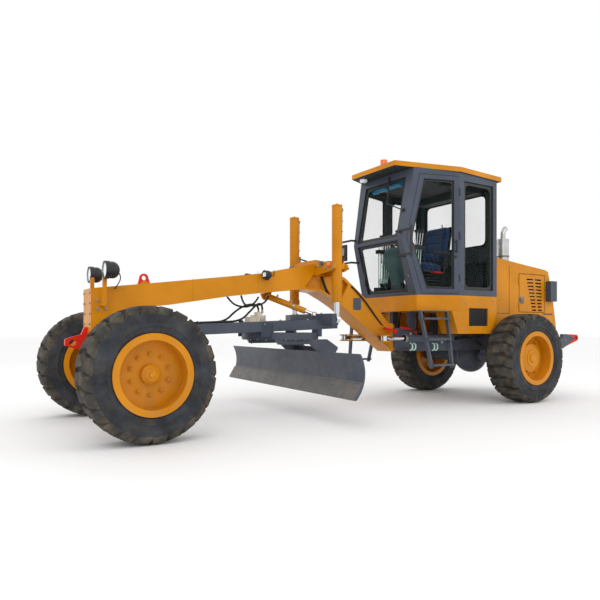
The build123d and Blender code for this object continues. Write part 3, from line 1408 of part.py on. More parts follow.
def door_outline(edge, hinge_edge):
    """Corners of the door, drawn in by an edge width, from the hinge foot round to the hinge top."""
    front = POST_W + edge
    return (
        (hinge_edge, DOOR_LOW_Z + edge),
        (along_wall(CAB_SILL_X, -front - 5), DOOR_LOW_Z + edge),
        (along_wall(CAB_KNEE_X, -front), CAB_KNEE_Z),
        (along_wall(CAB_TOP_X, -front), DOOR_TOP_Z - edge),
        (hinge_edge, DOOR_TOP_Z - edge),
    )


outer_block = cab_block(0)
inner_block = cab_block(CAB_WALL)
glass_out = cab_block((CAB_WALL - GLASS_T) / 2)
glass_in = cab_block((CAB_WALL + GLASS_T) / 2)
FRONT_GLASS_HALF = CAB_KNEE_HALF_W - POST_W
# Front and rear panes. Columns: x of the cut, its depth, lower z, upper z, half-width
END_PANES = (
    (CAB_KNEE_X - 350, 400, CAB_SILL_Z + 45, CAB_KNEE_Z - 22, FRONT_GLASS_HALF),
    (CAB_KNEE_X - 350, 400, CAB_KNEE_Z + 22, CAB_ROOF_FRONT_Z - 105, FRONT_GLASS_HALF),
    (CAB_REAR_X - 50, 150, CAB_KNEE_Z - 25, CAB_ROOF_REAR_Z - 115, CAB_HALF_W - 130),
)
# Side pane behind the door: rear x, front x, lower z, upper z
SIDE_PANE = (CAB_REAR_X + 75, DOOR_REAR_X - 105, CAB_SILL_Z + 75, CAB_ROOF_REAR_Z - 75)
with BuildPart() as panes:
    for pane_x, depth, low, top, half in END_PANES:
        with BuildSketch(across(pane_x)):
            with Locations((0, (low + top) / 2)):
                Rectangle(2 * half, top - low)
        extrude(amount=depth)
    with BuildSketch(side_plane(0)):
        with Locations(((SIDE_PANE[0] + SIDE_PANE[1]) / 2, (SIDE_PANE[2] + SIDE_PANE[3]) / 2)):
            Rectangle(SIDE_PANE[1] - SIDE_PANE[0], SIDE_PANE[3] - SIDE_PANE[2])
    extrude(amount=CAB_HALF_W + 10, both=True)

with BuildPart() as cab_shell:
    add(outer_block)
    add(inner_block, mode=Mode.SUBTRACT)
    add(panes.part, mode=Mode.SUBTRACT)
    for side, sign in SIDES:
        with BuildSketch(door_side(sign, -20)):
            with BuildLine():
                Polyline(*door_outline(-GAP, -SEAT), close=True)
            make_face()
        extrude(amount=sign * (CAB_WALL + 60), mode=Mode.SUBTRACT)
cab_shell.part.label = "cab_shell"
export_step(cab_shell.part, "parts/cab_shell.step")

with BuildPart() as cab_glass:
    add(glass_out)
    add(glass_in, mode=Mode.SUBTRACT)
    add(panes.part, mode=Mode.INTERSECT)
cab_glass.part.label = "cab_glass"
export_step(cab_glass.part, "parts/cab_glass.step")

# Cab doors, framed glass hinged at the rear post
for side, sign in SIDES:
    with BuildPart() as cab_door:
        with BuildSketch(door_side(sign, 0)):
            with BuildLine():
                Polyline(*door_outline(0, 0), close=True)
            make_face()
            with BuildLine():
                Polyline(*door_outline(DOOR_FRAME, DOOR_FRAME), close=True)
            make_face(mode=Mode.SUBTRACT)
        extrude(amount=sign * CAB_WALL)
    cab_door.part.label = f"cab_door_{side}"
    export_step(cab_door.part, f"parts/cab_door_{side}.step")

    with BuildPart() as door_glass:
        with BuildSketch(door_side(sign, (CAB_WALL - GLASS_T) / 2)):
            with BuildLine():
                Polyline(*door_outline(DOOR_FRAME, DOOR_FRAME), close=True)
            make_face()
        extrude(amount=sign * GLASS_T)
    door_glass.part.label = f"door_glass_{side}"
    export_step(door_glass.part, f"parts/door_glass_{side}.step")

# Roof cap: a rim and a low crown, both on the slope of the cab's top
ROOF_FALL = atan2(CAB_ROOF_FRONT_Z - CAB_ROOF_REAR_Z, ROOF_FRONT_X - ROOF_REAR_X)
roof_plane = Plane(
    origin=(ROOF_REAR_X, 0, CAB_ROOF_REAR_Z),
    x_dir=(cos(ROOF_FALL), 0, sin(ROOF_FALL)),
    z_dir=(-sin(ROOF_FALL), 0, cos(ROOF_FALL)),
)


def roof_outline(inset):
    """Corners of the roof in its own plane, drawn in by the inset."""
    length = (ROOF_FRONT_X - ROOF_REAR_X) / cos(ROOF_FALL)
    wide_to = CAB_POST_X - ROOF_REAR_X
    return (
        (inset, ROOF_HALF_W - inset),
        (wide_to, ROOF_HALF_W - inset),
        (length - inset, ROOF_FRONT_HALF_W - inset * 0.7),
        (length - inset, -ROOF_FRONT_HALF_W + inset * 0.7),
        (wide_to, -ROOF_HALF_W + inset),
        (inset, -ROOF_HALF_W + inset),
    )


with BuildPart() as cab_roof:
    with BuildSketch(roof_plane):
        with BuildLine():
            Polyline(*roof_outline(0), close=True)
        make_face()
    extrude(amount=ROOF_RIM)
    with BuildSketch(roof_plane.offset(ROOF_RIM)):
        with BuildLine():
            Polyline(*roof_outline(10), close=True)
        make_face()
    with BuildSketch(roof_plane.offset(ROOF_RIM + ROOF_CROWN)):
        with BuildLine():
            Polyline(*roof_outline(210), close=True)
        make_face()
    loft(ruled=True)
cab_roof.part.label = "cab_roof"
export_step(cab_roof.part, "parts/cab_roof.step")

beacon_foot = CAB_ROOF_FRONT_Z + ROOF_RIM / 2
with BuildPart() as beacon:
    for radius, top in (
        (BEACON_R + 10, CAB_ROOF_FRONT_Z + ROOF_RIM + BEACON_BASE_H),
        (BEACON_R, CAB_ROOF_FRONT_Z + ROOF_RIM + BEACON_H),
    ):
        with BuildSketch(Plane.XY.offset(beacon_foot)):
            with Locations((BEACON_X, 0)):
                Circle(radius)
        extrude(amount=top - beacon_foot)
    add(cab_roof.part, mode=Mode.SUBTRACT)
beacon.part.label = "beacon"
export_step(beacon.part, "parts/beacon.step")

# Cab base: floor slab on the frame's mounts and a skirt box on each side
base_front_half = CAB_HALF_W - POST_SLOPE * (CAB_SILL_X - CAB_POST_X)
with BuildPart() as cab_base:
    with BuildSketch(Plane.XY.offset(BASE_LOW_Z)):
        with BuildLine():
            Polyline(
                (CAB_SILL_X, base_front_half),
                (CAB_POST_X, CAB_HALF_W),
                (CAB_REAR_X, CAB_HALF_W),
                (CAB_REAR_X, -CAB_HALF_W),
                (CAB_POST_X, -CAB_HALF_W),
                (CAB_SILL_X, -base_front_half),
                close=True,
            )
        make_face()
    extrude(amount=CAB_SILL_Z - BASE_LOW_Z)
    for sign in (1, -1):
        with BuildSketch(side_plane(sign * SKIRT_IN_Y)):
            with BuildLine():
                Polyline(
                    (SKIRT_NOTCH_X, BASE_LOW_Z),
                    (CAB_REAR_X, BASE_LOW_Z),
                    (CAB_REAR_X, HOOD_LOW_Z + 280),
                    (CAB_REAR_X + 95, SKIRT_LOW_Z),
                    (SKIRT_FRONT_X, SKIRT_LOW_Z),
                    close=True,
                )
            make_face()
        extrude(amount=-sign * (CAB_HALF_W - SKIRT_IN_Y))
        with BuildSketch(side_plane(sign * CAB_HALF_W)):
            with Locations((VENT_X, VENT_Z)):
                Rectangle(VENT_W, VENT_H)
        extrude(amount=sign * VENT_DEPTH, mode=Mode.SUBTRACT)
cab_base.part.label = "cab_base"
export_step(cab_base.part, "parts/cab_base.step")

# Ladders below the doors, splayed outward to the foot
ladder_drop = BASE_LOW_Z - LADDER_LOW_Z
ladder_length = sqrt(ladder_drop**2 + (LADDER_LOW_Y - LADDER_TOP_Y) ** 2)
LADDER_STEPS = (0.16, 0.52, 0.97)  # share of the way down
with BuildPart() as ladders:
    for side, sign in SIDES:
        ladder_plane = Plane(
            origin=(LADDER_X, sign * LADDER_TOP_Y, BASE_LOW_Z),
            x_dir=(1, 0, 0),
            z_dir=(0, sign * ladder_drop, LADDER_LOW_Y - LADDER_TOP_Y),
        )
        for rail in (1, -1):
            with BuildSketch(ladder_plane):
                with BuildLine():
                    Polyline(
                        (rail * LADDER_TOP_HALF, 0),
                        (rail * LADDER_LOW_HALF, sign * ladder_length),
                        (rail * (LADDER_LOW_HALF - LADDER_RAIL_T), sign * ladder_length),
                        (rail * (LADDER_TOP_HALF - LADDER_RAIL_T), 0),
                        close=True,
                    )
                make_face()
            extrude(amount=-LADDER_RAIL_D)
        for share in LADDER_STEPS:
            step_half = LADDER_TOP_HALF + (LADDER_LOW_HALF - LADDER_TOP_HALF) * share - 10
            step_y = sign * (LADDER_TOP_Y + (LADDER_LOW_Y - LADDER_TOP_Y) * share)
            with BuildSketch(Plane.XY.offset(BASE_LOW_Z - ladder_drop * share)):
                with Locations((LADDER_X, step_y - sign * 30)):
                    Rectangle(2 * step_half, 110)
            extrude(amount=22)
        with BuildSketch(Plane.XY.offset(BASE_LOW_Z - LADDER_PLATE_T)):
            with Locations((LADDER_X, sign * (LADDER_TOP_Y - LADDER_PLATE_W / 2))):
                Rectangle(2 * LADDER_TOP_HALF - LADDER_RAIL_T, LADDER_PLATE_W)
        extrude(amount=LADDER_PLATE_T)
    with BuildSketch(Plane.XY.offset(BASE_LOW_Z)):
        with Locations((LADDER_X, 0)):
            Rectangle(4 * LADDER_TOP_HALF, 4 * LADDER_LOW_Y)
    extrude(amount=CAB_SILL_Z - BASE_LOW_Z, mode=Mode.SUBTRACT)
    add(cab_base.part, mode=Mode.SUBTRACT)
ladders.part.label = "ladders"
export_step(ladders.part, "parts/ladders.step")

# Inside the cab: seat and steering column
floor_z = CAB_SILL_Z + CAB_WALL
with BuildPart() as seat:
    with BuildSketch(Plane.XY.offset(floor_z)):
        with Locations((SEAT_BASE_X, 0)):
            Rectangle(SEAT_BASE_L, SEAT_BASE_W)
    extrude(amount=SEAT_BASE_H)
    cushion_z = floor_z + SEAT_BASE_H - 10
    with BuildSketch(side_plane(0)):
        with BuildLine():
            Polyline(
                (SEAT_X, cushion_z),
                (SEAT_X, cushion_z + CUSHION_T),
                (SEAT_X - SEAT_DEPTH, cushion_z + CUSHION_T - 15),
                (SEAT_X - SEAT_DEPTH - BACK_RAKE, cushion_z + BACK_H),
                (SEAT_X - SEAT_DEPTH - BACK_RAKE - BACK_T, cushion_z + BACK_H - 10),
                (SEAT_X - SEAT_DEPTH - BACK_T - 30, cushion_z - 20),
                close=True,
            )
        make_face()
    extrude(amount=SEAT_W / 2, both=True)
seat.part.label = "operator_seat"
export_step(seat.part, "parts/operator_seat.step")

column_foot = Vector(COLUMN_X, 0, floor_z)
column_head = Vector(WHEEL_X, 0, WHEEL_Z)
column_plane = Plane(origin=column_foot, x_dir=(0, 1, 0), z_dir=column_head - column_foot)
column_length = (column_head - column_foot).length
with BuildPart() as column:
    with BuildSketch(column_plane.offset(60)):
        Rectangle(COLUMN_L, COLUMN_W)
    extrude(amount=column_length - 60)
    with BuildSketch(Plane.XY.offset(floor_z)):
        with Locations((column_foot.X, 0)):
            Rectangle(COLUMN_FOOT_W, COLUMN_FOOT_W)
    extrude(amount=COLUMN_FOOT_H)
    with BuildSketch(column_plane.offset(column_length)):
        Circle(WHEEL_R)
        Circle(WHEEL_R - WHEEL_TUBE, mode=Mode.SUBTRACT)
        Rectangle(2 * WHEEL_R - WHEEL_TUBE, WHEEL_TUBE)
    extrude(amount=WHEEL_TUBE)
column.part.label = "steering_column"
export_step(column.part, "parts/steering_column.step")

def lamp_bowl(back, radius, depth):
    """A round lamp that looks forward: a domed back, a bezel and a sunk front."""
    lens = depth - radius * 0.12
    with BuildPart() as bowl:
        with BuildSketch(Plane.XZ):
            with BuildLine():
                Line((0, 0), (0, radius * 0.35))
                ThreePointArc((0, radius * 0.35), (depth * 0.18, radius * 0.78), (depth * 0.6, radius * 0.92))
                Polyline(
                    (depth * 0.6, radius * 0.92),
                    (depth * 0.7, radius),
                    (depth, radius),
                    (depth, radius * 0.88),
                    (lens, radius * 0.86),
                    (lens, 0),
                    (0, 0),
                )
            make_face()
        revolve(axis=Axis.X)
    return bowl.part.moved(Location(back))


# Head lamps on bent arms beside the nose
LAMP_FOOT_Z = NOSE_TOP_Z - 171
lamp_post_x = LAMP_X + 50
with BuildPart() as head_lamps:
    for sign in (1, -1):
        add(lamp_bowl((LAMP_X - LAMP_DEPTH / 2, sign * LAMP_Y, LAMP_Z), LAMP_R, LAMP_DEPTH))
        with BuildSketch(Plane.XY.offset(LAMP_FOOT_Z)):
            with Locations((lamp_post_x, sign * (LAMP_Y - 60))):
                Rectangle(LAMP_POST, LAMP_POST)
        extrude(amount=LAMP_Z - LAMP_FOOT_Z - 20)
        with BuildSketch(side_plane(sign * BEAM_HALF_W)):
            with Locations((lamp_post_x, LAMP_FOOT_Z + LAMP_POST / 2)):
                Rectangle(LAMP_POST, LAMP_POST)
        extrude(amount=-sign * (LAMP_Y - 60 + LAMP_POST / 2 - BEAM_HALF_W))
head_lamps.part.label = "head_lamps"
export_step(head_lamps.part, "parts/head_lamps.step")

with BuildPart() as work_lamps:
    for sign in (1, -1):
        add(lamp_bowl((WORK_LAMP_X, sign * WORK_LAMP_Y, WORK_LAMP_Z), WORK_LAMP_R, WORK_LAMP_DEPTH))
        with BuildSketch(side_plane(sign * BEAM_HALF_W)):
            with Locations((WORK_LAMP_X + 30, WORK_LAMP_Z - 16)):
                Rectangle(40, 30)
        extrude(amount=-sign * (WORK_LAMP_Y - WORK_LAMP_R / 2 - BEAM_HALF_W))
work_lamps.part.label = "work_lamps"
export_step(work_lamps.part, "parts/work_lamps.step")

# Hook at the nose and lifting lug on top
with BuildPart() as front_hook:
    with BuildSketch(side_plane(0)):
        with BuildLine():
            Polyline(
                (NOSE_X - 60, NOSE_LOW_Z),
                (NOSE_X, NOSE_LOW_Z),
                (NOSE_X, NOSE_LOW_Z + 65),
                (NOSE_X + 30, NOSE_LOW_Z + 65),
                (NOSE_X + 60, NOSE_LOW_Z - 5),
                (NOSE_X + 140, NOSE_LOW_Z - 25),
                (NOSE_X + 210, NOSE_LOW_Z - 50),
                (NOSE_X + 210, NOSE_LOW_Z - 110),
                (NOSE_X + 110, NOSE_LOW_Z - 145),
                (NOSE_X - 10, NOSE_LOW_Z - 120),
                (NOSE_X - 60, NOSE_LOW_Z - 60),
                close=True,
            )
        make_face()
        with Locations((NOSE_X + 140, NOSE_LOW_Z - 84)):
            Circle(HOOK_HOLE_R, mode=Mode.SUBTRACT)
    extrude(amount=HOOK_T / 2, both=True)
    add(gooseneck.part, mode=Mode.SUBTRACT)
front_hook.part.label = "front_hook"
export_step(front_hook.part, "parts/front_hook.step")

with BuildPart() as lifting_lug:
    with BuildSketch(side_plane(0)):
        with BuildLine():
            lug_rear = (LIFT_LUG_X - LIFT_LUG_R, LIFT_LUG_Z)
            lug_front = (LIFT_LUG_X + LIFT_LUG_R, LIFT_LUG_Z)
            lug_foot = line_z(LIFT_LUG_X, BEAM_TOP[0], BEAM_TOP[1]) - 30
            Polyline(lug_front, (LIFT_LUG_X + 70, lug_foot), (LIFT_LUG_X - 80, lug_foot), lug_rear)
            ThreePointArc(lug_rear, (LIFT_LUG_X, LIFT_LUG_Z + LIFT_LUG_R), lug_front)
        make_face()
        with Locations((LIFT_LUG_X, LIFT_LUG_Z)):
            Circle(LIFT_LUG_HOLE_R, mode=Mode.SUBTRACT)
    extrude(amount=LIFT_LUG_T / 2, both=True)
    add(gooseneck.part, mode=Mode.SUBTRACT)
lifting_lug.part.label = "lifting_lug"
export_step(lifting_lug.part, "parts/lifting_lug.step")

# Mirrors on hoops at the cab's front posts
HOOP_X = CAB_KNEE_X + 60
HOOP_T = 24.0
HOOP_POST_Y = CAB_KNEE_HALF_W - 20
HOOP_Y = 700.0
HOOP_HEIGHTS = (1880.0, 2180.0)
with BuildPart() as mirrors:
    for sign in (1, -1):
        for height in HOOP_HEIGHTS:
            with BuildSketch(Plane.XY.offset(height - HOOP_T / 2)):
                with Locations((HOOP_X, sign * (HOOP_POST_Y + HOOP_Y) / 2)):
                    Rectangle(HOOP_T, HOOP_Y - HOOP_POST_Y + HOOP_T)
                with Locations((HOOP_X, sign * HOOP_POST_Y)):
                    Rectangle(200, HOOP_T, align=(Align.MAX, Align.CENTER))
            extrude(amount=HOOP_T)
        with BuildSketch(Plane.XY.offset(HOOP_HEIGHTS[0] - 40)):
            with Locations((HOOP_X, sign * HOOP_Y)):
                Rectangle(HOOP_T, HOOP_T)
        extrude(amount=HOOP_HEIGHTS[1] - HOOP_HEIGHTS[0] + 80)
    add(outer_block, mode=Mode.SUBTRACT)
mirrors.part.label = "mirrors"
export_step(mirrors.part, "parts/mirrors.step")
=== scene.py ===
"""Looks of the articulated motor grader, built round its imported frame.

Metres. +X forward, +Y left, +Z up, as in the frame.
"""
import json
from math import cos, pi, radians, sin

import bmesh
import bpy
from mathutils import Matrix, Vector
from mathutils.bvhtree import BVHTree


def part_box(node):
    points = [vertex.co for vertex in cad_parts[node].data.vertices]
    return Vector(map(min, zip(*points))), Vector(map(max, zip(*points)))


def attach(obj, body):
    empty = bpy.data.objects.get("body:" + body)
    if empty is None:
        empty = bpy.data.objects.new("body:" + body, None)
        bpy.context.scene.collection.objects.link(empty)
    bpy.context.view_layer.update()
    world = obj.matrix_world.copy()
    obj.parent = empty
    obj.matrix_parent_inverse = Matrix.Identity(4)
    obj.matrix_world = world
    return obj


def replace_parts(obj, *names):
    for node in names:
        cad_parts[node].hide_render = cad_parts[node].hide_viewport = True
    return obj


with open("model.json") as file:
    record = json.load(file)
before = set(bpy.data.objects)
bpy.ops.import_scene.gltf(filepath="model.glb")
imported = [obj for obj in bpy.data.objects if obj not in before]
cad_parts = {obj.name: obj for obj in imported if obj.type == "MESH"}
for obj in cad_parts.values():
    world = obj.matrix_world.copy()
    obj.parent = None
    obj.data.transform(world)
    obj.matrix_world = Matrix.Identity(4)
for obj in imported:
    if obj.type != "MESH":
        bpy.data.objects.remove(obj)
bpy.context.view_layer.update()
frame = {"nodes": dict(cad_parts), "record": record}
nodes = frame["nodes"]

X = Vector((1, 0, 0))
Y = Vector((0, 1, 0))
Z = Vector((0, 0, 1))
SIDES = (("left", 1), ("right", -1))
CAB_MIDDLE = Vector((-1.05, 0.0, 2.2))


def put(name, data):
    """A new object in the scene."""
    piece = bpy.data.objects.new(name, data)
    bpy.context.scene.collection.objects.link(piece)
    return piece


def tone(red, green, blue):
    """Linear colour of an sRGB one given from 0 to 255."""
    shares = [value / 255 for value in (red, green, blue)]
    return tuple(s / 12.92 if s < 0.04045 else ((s + 0.055) / 1.055) ** 2.4 for s in shares) + (1.0,)


# Camera, at the height of the front hubs' tops, to the left of the nose
CAMERA_AT = Vector((4.784, 5.766, 0.977))
CAMERA_TURN = radians(31.47)
CAMERA_LENS = 34.59
CAMERA_SHIFT = (0.0352, 0.0476)


def add_camera():
    data = bpy.data.cameras.new("camera")
    data.lens = CAMERA_LENS
    data.sensor_width = 36.0
    data.shift_x, data.shift_y = CAMERA_SHIFT
    data.clip_end = 200.0
    camera = put("camera", data)
    camera.location = CAMERA_AT
    looks = Vector((-sin(CAMERA_TURN), -cos(CAMERA_TURN), 0))
    camera.rotation_mode = "QUATERNION"
    camera.rotation_quaternion = looks.to_track_quat("-Z", "Y")
    bpy.context.scene.camera = camera


# Shader helpers
def material(name):
    """A new material: the material, its tree and its one shader."""
    made = bpy.data.materials.new(name)
    made.use_nodes = True
    tree = made.node_tree
    tree.nodes.clear()
    out = tree.nodes.new("ShaderNodeOutputMaterial")
    shader = tree.nodes.new("ShaderNodeBsdfPrincipled")
    tree.links.new(shader.outputs["BSDF"], out.inputs["Surface"])
    return made, tree, shader


def feed(shader, key, value):
    """A socket linked to one of a shader's inputs."""
    shader.id_data.links.new(value, shader.inputs[key])


def cloud(tree, scale, detail=4.0, stretch=(1.0, 1.0, 1.0)):
    """Noise over the piece's own coordinates, in metres."""
    place = tree.nodes.new("ShaderNodeTexCoord")
    size = tree.nodes.new("ShaderNodeMapping")
    size.inputs["Scale"].default_value = stretch
    noise = tree.nodes.new("ShaderNodeTexNoise")
    noise.inputs["Scale"].default_value = scale
    noise.inputs["Detail"].default_value = detail
    tree.links.new(place.outputs["Object"], size.inputs["Vector"])
    tree.links.new(size.outputs["Vector"], noise.inputs["Vector"])
    return noise.outputs[0]


def spread(tree, value, low, high, out_low, out_high):
    """A value's range stretched onto another range."""
    ranged = tree.nodes.new("ShaderNodeMapRange")
    for key, number in (("From Min", low), ("From Max", high), ("To Min", out_low), ("To Max", out_high)):
        ranged.inputs[key].default_value = number
    tree.links.new(value, ranged.inputs["Value"])
    return ranged.outputs["Result"]


def product(tree, first, second):
    """Two values multiplied."""
    times = tree.nodes.new("ShaderNodeMath")
    times.operation = "MULTIPLY"
    tree.links.new(first, times.inputs[0])
    tree.links.new(second, times.inputs[1])
    return times.outputs[0]


def mixed(tree, share, first, second):
    """Two colours mixed by a share; each is a colour or a socket."""
    mix = tree.nodes.new("ShaderNodeMix")
    mix.data_type = "RGBA"
    tree.links.new(share, mix.inputs[0])
    for socket, colour in ((mix.inputs[6], first), (mix.inputs[7], second)):
        if isinstance(colour, tuple):
            socket.default_value = colour
        else:
            tree.links.new(colour, socket)
    return mix.outputs[2]


def edges(tree, radius):
    """Rounded shading over sharp edges, and a mask that is 1 on them."""
    bevel = tree.nodes.new("ShaderNodeBevel")
    bevel.samples = 4
    bevel.inputs["Radius"].default_value = radius
    facing = tree.nodes.new("ShaderNodeNewGeometry")
    dot = tree.nodes.new("ShaderNodeVectorMath")
    dot.operation = "DOT_PRODUCT"
    tree.links.new(bevel.outputs["Normal"], dot.inputs[0])
    tree.links.new(facing.outputs["Normal"], dot.inputs[1])
    return bevel.outputs["Normal"], spread(tree, dot.outputs["Value"], 0.995, 0.85, 0.0, 1.0)


def low_down(tree, low, high):
    """A mask that is 1 below one height and 0 above another."""
    place = tree.nodes.new("ShaderNodeTexCoord")
    parts = tree.nodes.new("ShaderNodeSeparateXYZ")
    tree.links.new(place.outputs["Object"], parts.inputs["Vector"])
    return spread(tree, parts.outputs["Z"], low, high, 1.0, 0.0)


def bumped(tree, shader, height, depth, strength, normal=None):
    """Bump from a height value on the shader's normal."""
    bump = tree.nodes.new("ShaderNodeBump")
    bump.inputs["Distance"].default_value = depth
    bump.inputs["Strength"].default_value = strength
    tree.links.new(height, bump.inputs["Height"])
    if normal is not None:
        tree.links.new(normal, bump.inputs["Normal"])
    feed(shader, "Normal", bump.outputs["Normal"])


DUST = tone(150, 132, 104)


def paint(name, colour, gloss, worn, dusty=0.22, coat=0.08):
    """Sprayed paint: a faint drift of tone, orange peel, rubbed edges and dust low down."""
    made, tree, shader = material(name)
    pale = tuple(min(1.0, share * 1.10 + 0.004) for share in colour[:3]) + (1.0,)
    deep = tuple(share * 0.88 for share in colour[:3]) + (1.0,)
    drift = mixed(tree, spread(tree, cloud(tree, 1.7, 3.0), 0.35, 0.65, 0.0, 1.0), deep, pale)
    normal, edge = edges(tree, 0.004)
    rubbed = product(tree, edge, spread(tree, cloud(tree, 26.0, 6.0), 0.52, 0.68, 0.0, 0.75))
    coloured = mixed(tree, rubbed, drift, worn)
    specks = spread(tree, cloud(tree, 9.0, 8.0), 0.42, 0.72, 0.05, 1.0)
    film = product(tree, low_down(tree, 0.15, 1.15), specks)
    veil = spread(tree, film, 0.0, 1.0, 0.0, dusty)
    feed(shader, "Base Color", mixed(tree, veil, coloured, DUST))
    haze = spread(tree, cloud(tree, 14.0, 5.0), 0.3, 0.7, gloss - 0.06, gloss + 0.10)
    feed(shader, "Roughness", haze)
    shader.inputs["Coat Weight"].default_value = coat
    shader.inputs["Coat Roughness"].default_value = 0.12
    shader.inputs["Specular IOR Level"].default_value = 0.18
    bumped(tree, shader, cloud(tree, 190.0, 2.0), 0.0006, 0.25, normal)
    return made


def metal(name, colour, rough, streak=(1.0, 1.0, 1.0), scale=60.0, stain=None):
    """Bare or plated metal with fine streaks and a slow change of tone."""
    made, tree, shader = material(name)
    shader.inputs["Metallic"].default_value = 1.0
    darker = tuple(share * 0.72 for share in colour[:3]) + (1.0,)
    tint = mixed(tree, spread(tree, cloud(tree, 5.0, 5.0), 0.4, 0.7, 0.0, 0.7), colour, stain or darker)
    feed(shader, "Base Color", tint)
    lines = cloud(tree, scale, 6.0, streak)
    feed(shader, "Roughness", spread(tree, lines, 0.3, 0.7, rough * 0.6, rough * 1.6))
    normal, _ = edges(tree, 0.002)
    bumped(tree, shader, lines, 0.0004, 0.2, normal)
    return made


def rubber(name, colour, dust_share, rough=0.78):
    """Moulded rubber with pores, a bloom of grey and dust in the hollows."""
    made, tree, shader = material(name)
    grey = tuple(share * 1.9 + 0.006 for share in colour[:3]) + (1.0,)
    bloom = mixed(tree, spread(tree, cloud(tree, 6.0, 6.0), 0.38, 0.7, 0.0, 1.0), colour, grey)
    normal, edge = edges(tree, 0.006)
    scuffed = mixed(tree, product(tree, edge, spread(tree, cloud(tree, 18.0, 6.0), 0.4, 0.7, 0.0, 0.6)),
                    bloom, grey)
    dust = spread(tree, cloud(tree, 11.0, 9.0), 0.45, 0.75, 0.0, dust_share)
    feed(shader, "Base Color", mixed(tree, dust, scuffed, DUST))
    feed(shader, "Roughness", spread(tree, cloud(tree, 30.0, 4.0), 0.3, 0.7, rough - 0.08, rough + 0.14))
    shader.inputs["Specular IOR Level"].default_value = 0.32
    bumped(tree, shader, cloud(tree, 260.0, 5.0), 0.0015, 0.35, normal)
    return made


def plastic(name, colour, rough, grain=0.35):
    """Moulded plastic with a fine grain and handling shine."""
    made, tree, shader = material(name)
    pale = tuple(share * 1.5 + 0.004 for share in colour[:3]) + (1.0,)
    feed(shader, "Base Color", mixed(tree, cloud(tree, 8.0, 5.0), colour, pale))
    feed(shader, "Roughness", spread(tree, cloud(tree, 20.0), 0.3, 0.7, rough - 0.08, rough + 0.12))
    normal, _ = edges(tree, 0.003)
    bumped(tree, shader, cloud(tree, 420.0, 2.0), 0.0006, grain, normal)
    return made


def glass(name, colour, clear, rough):
    """Tinted pane that lets light through, with a thin film of dust."""
    made, tree, shader = material(name)
    film = spread(tree, cloud(tree, 2.5, 7.0), 0.45, 0.8, 0.0, 0.25)
    feed(shader, "Base Color", mixed(tree, film, colour, tone(14, 40, 38)))
    feed(shader, "Alpha", spread(tree, cloud(tree, 2.0, 2.0), 0.4, 0.8, 1.0 - clear, 1.0 - clear + 0.03))
    feed(shader, "Roughness", spread(tree, cloud(tree, 12.0), 0.3, 0.7, rough, rough + 0.05))
    shader.inputs["Specular IOR Level"].default_value = 0.2
    bumped(tree, shader, cloud(tree, 1.5, 1.0), 0.001, 0.02)
    return made


def lens(name, colour, glow):
    """Moulded lens with flutes, and painted shade in their troughs."""
    made, tree, shader = material(name)
    place = tree.nodes.new("ShaderNodeTexCoord")
    flutes = tree.nodes.new("ShaderNodeTexWave")
    flutes.inputs["Scale"].default_value = 26.0
    flutes.bands_direction = "Y"
    tree.links.new(place.outputs["Object"], flutes.inputs["Vector"])
    # Painted shade: the flutes' troughs darkened to three quarters of the lens colour
    painted_flute_shade = tuple(share * 0.75 for share in colour[:3]) + (1.0,)
    feed(shader, "Base Color", mixed(tree, flutes.outputs["Fac"], painted_flute_shade, colour))
    feed(shader, "Roughness", spread(tree, cloud(tree, 40.0), 0.3, 0.7, 0.05, 0.14))
    shader.inputs["Coat Weight"].default_value = 1.0
    shader.inputs["Coat Roughness"].default_value = 0.03
    shader.inputs["Emission Color"].default_value = colour
    shader.inputs["Emission Strength"].default_value = glow
    bumped(tree, shader, flutes.outputs["Fac"], 0.002, 0.6)
    return made


def cloth(name, colour, other):
    """Woven cover: two crossing sets of threads, painted shade where they sink between crossings, and a soft
    sheen.
    """
    made, tree, shader = material(name)
    place = tree.nodes.new("ShaderNodeTexCoord")
    threads = []
    for direction in ("Y", "Z"):
        wave = tree.nodes.new("ShaderNodeTexWave")
        wave.bands_direction = direction
        wave.inputs["Scale"].default_value = 130.0
        wave.inputs["Distortion"].default_value = 1.4
        tree.links.new(place.outputs["Object"], wave.inputs["Vector"])
        threads.append(wave.outputs["Fac"])
    weave = product(tree, threads[0], threads[1])
    blend = mixed(tree, spread(tree, cloud(tree, 7.0, 5.0), 0.35, 0.7, 0.0, 1.0), colour, other)
    # Painted shade: the hollows of the weave darkened to about a third of the cloth's colour
    painted_weave_shade = tuple(share * 0.35 for share in colour[:3]) + (1.0,)
    feed(shader, "Base Color", mixed(tree, weave, painted_weave_shade, blend))
    feed(shader, "Roughness", spread(tree, weave, 0.0, 1.0, 0.95, 0.78))
    shader.inputs["Sheen Weight"].default_value = 0.35
    shader.inputs["Sheen Roughness"].default_value = 0.4
    bumped(tree, shader, weave, 0.0012, 0.8)
    return made


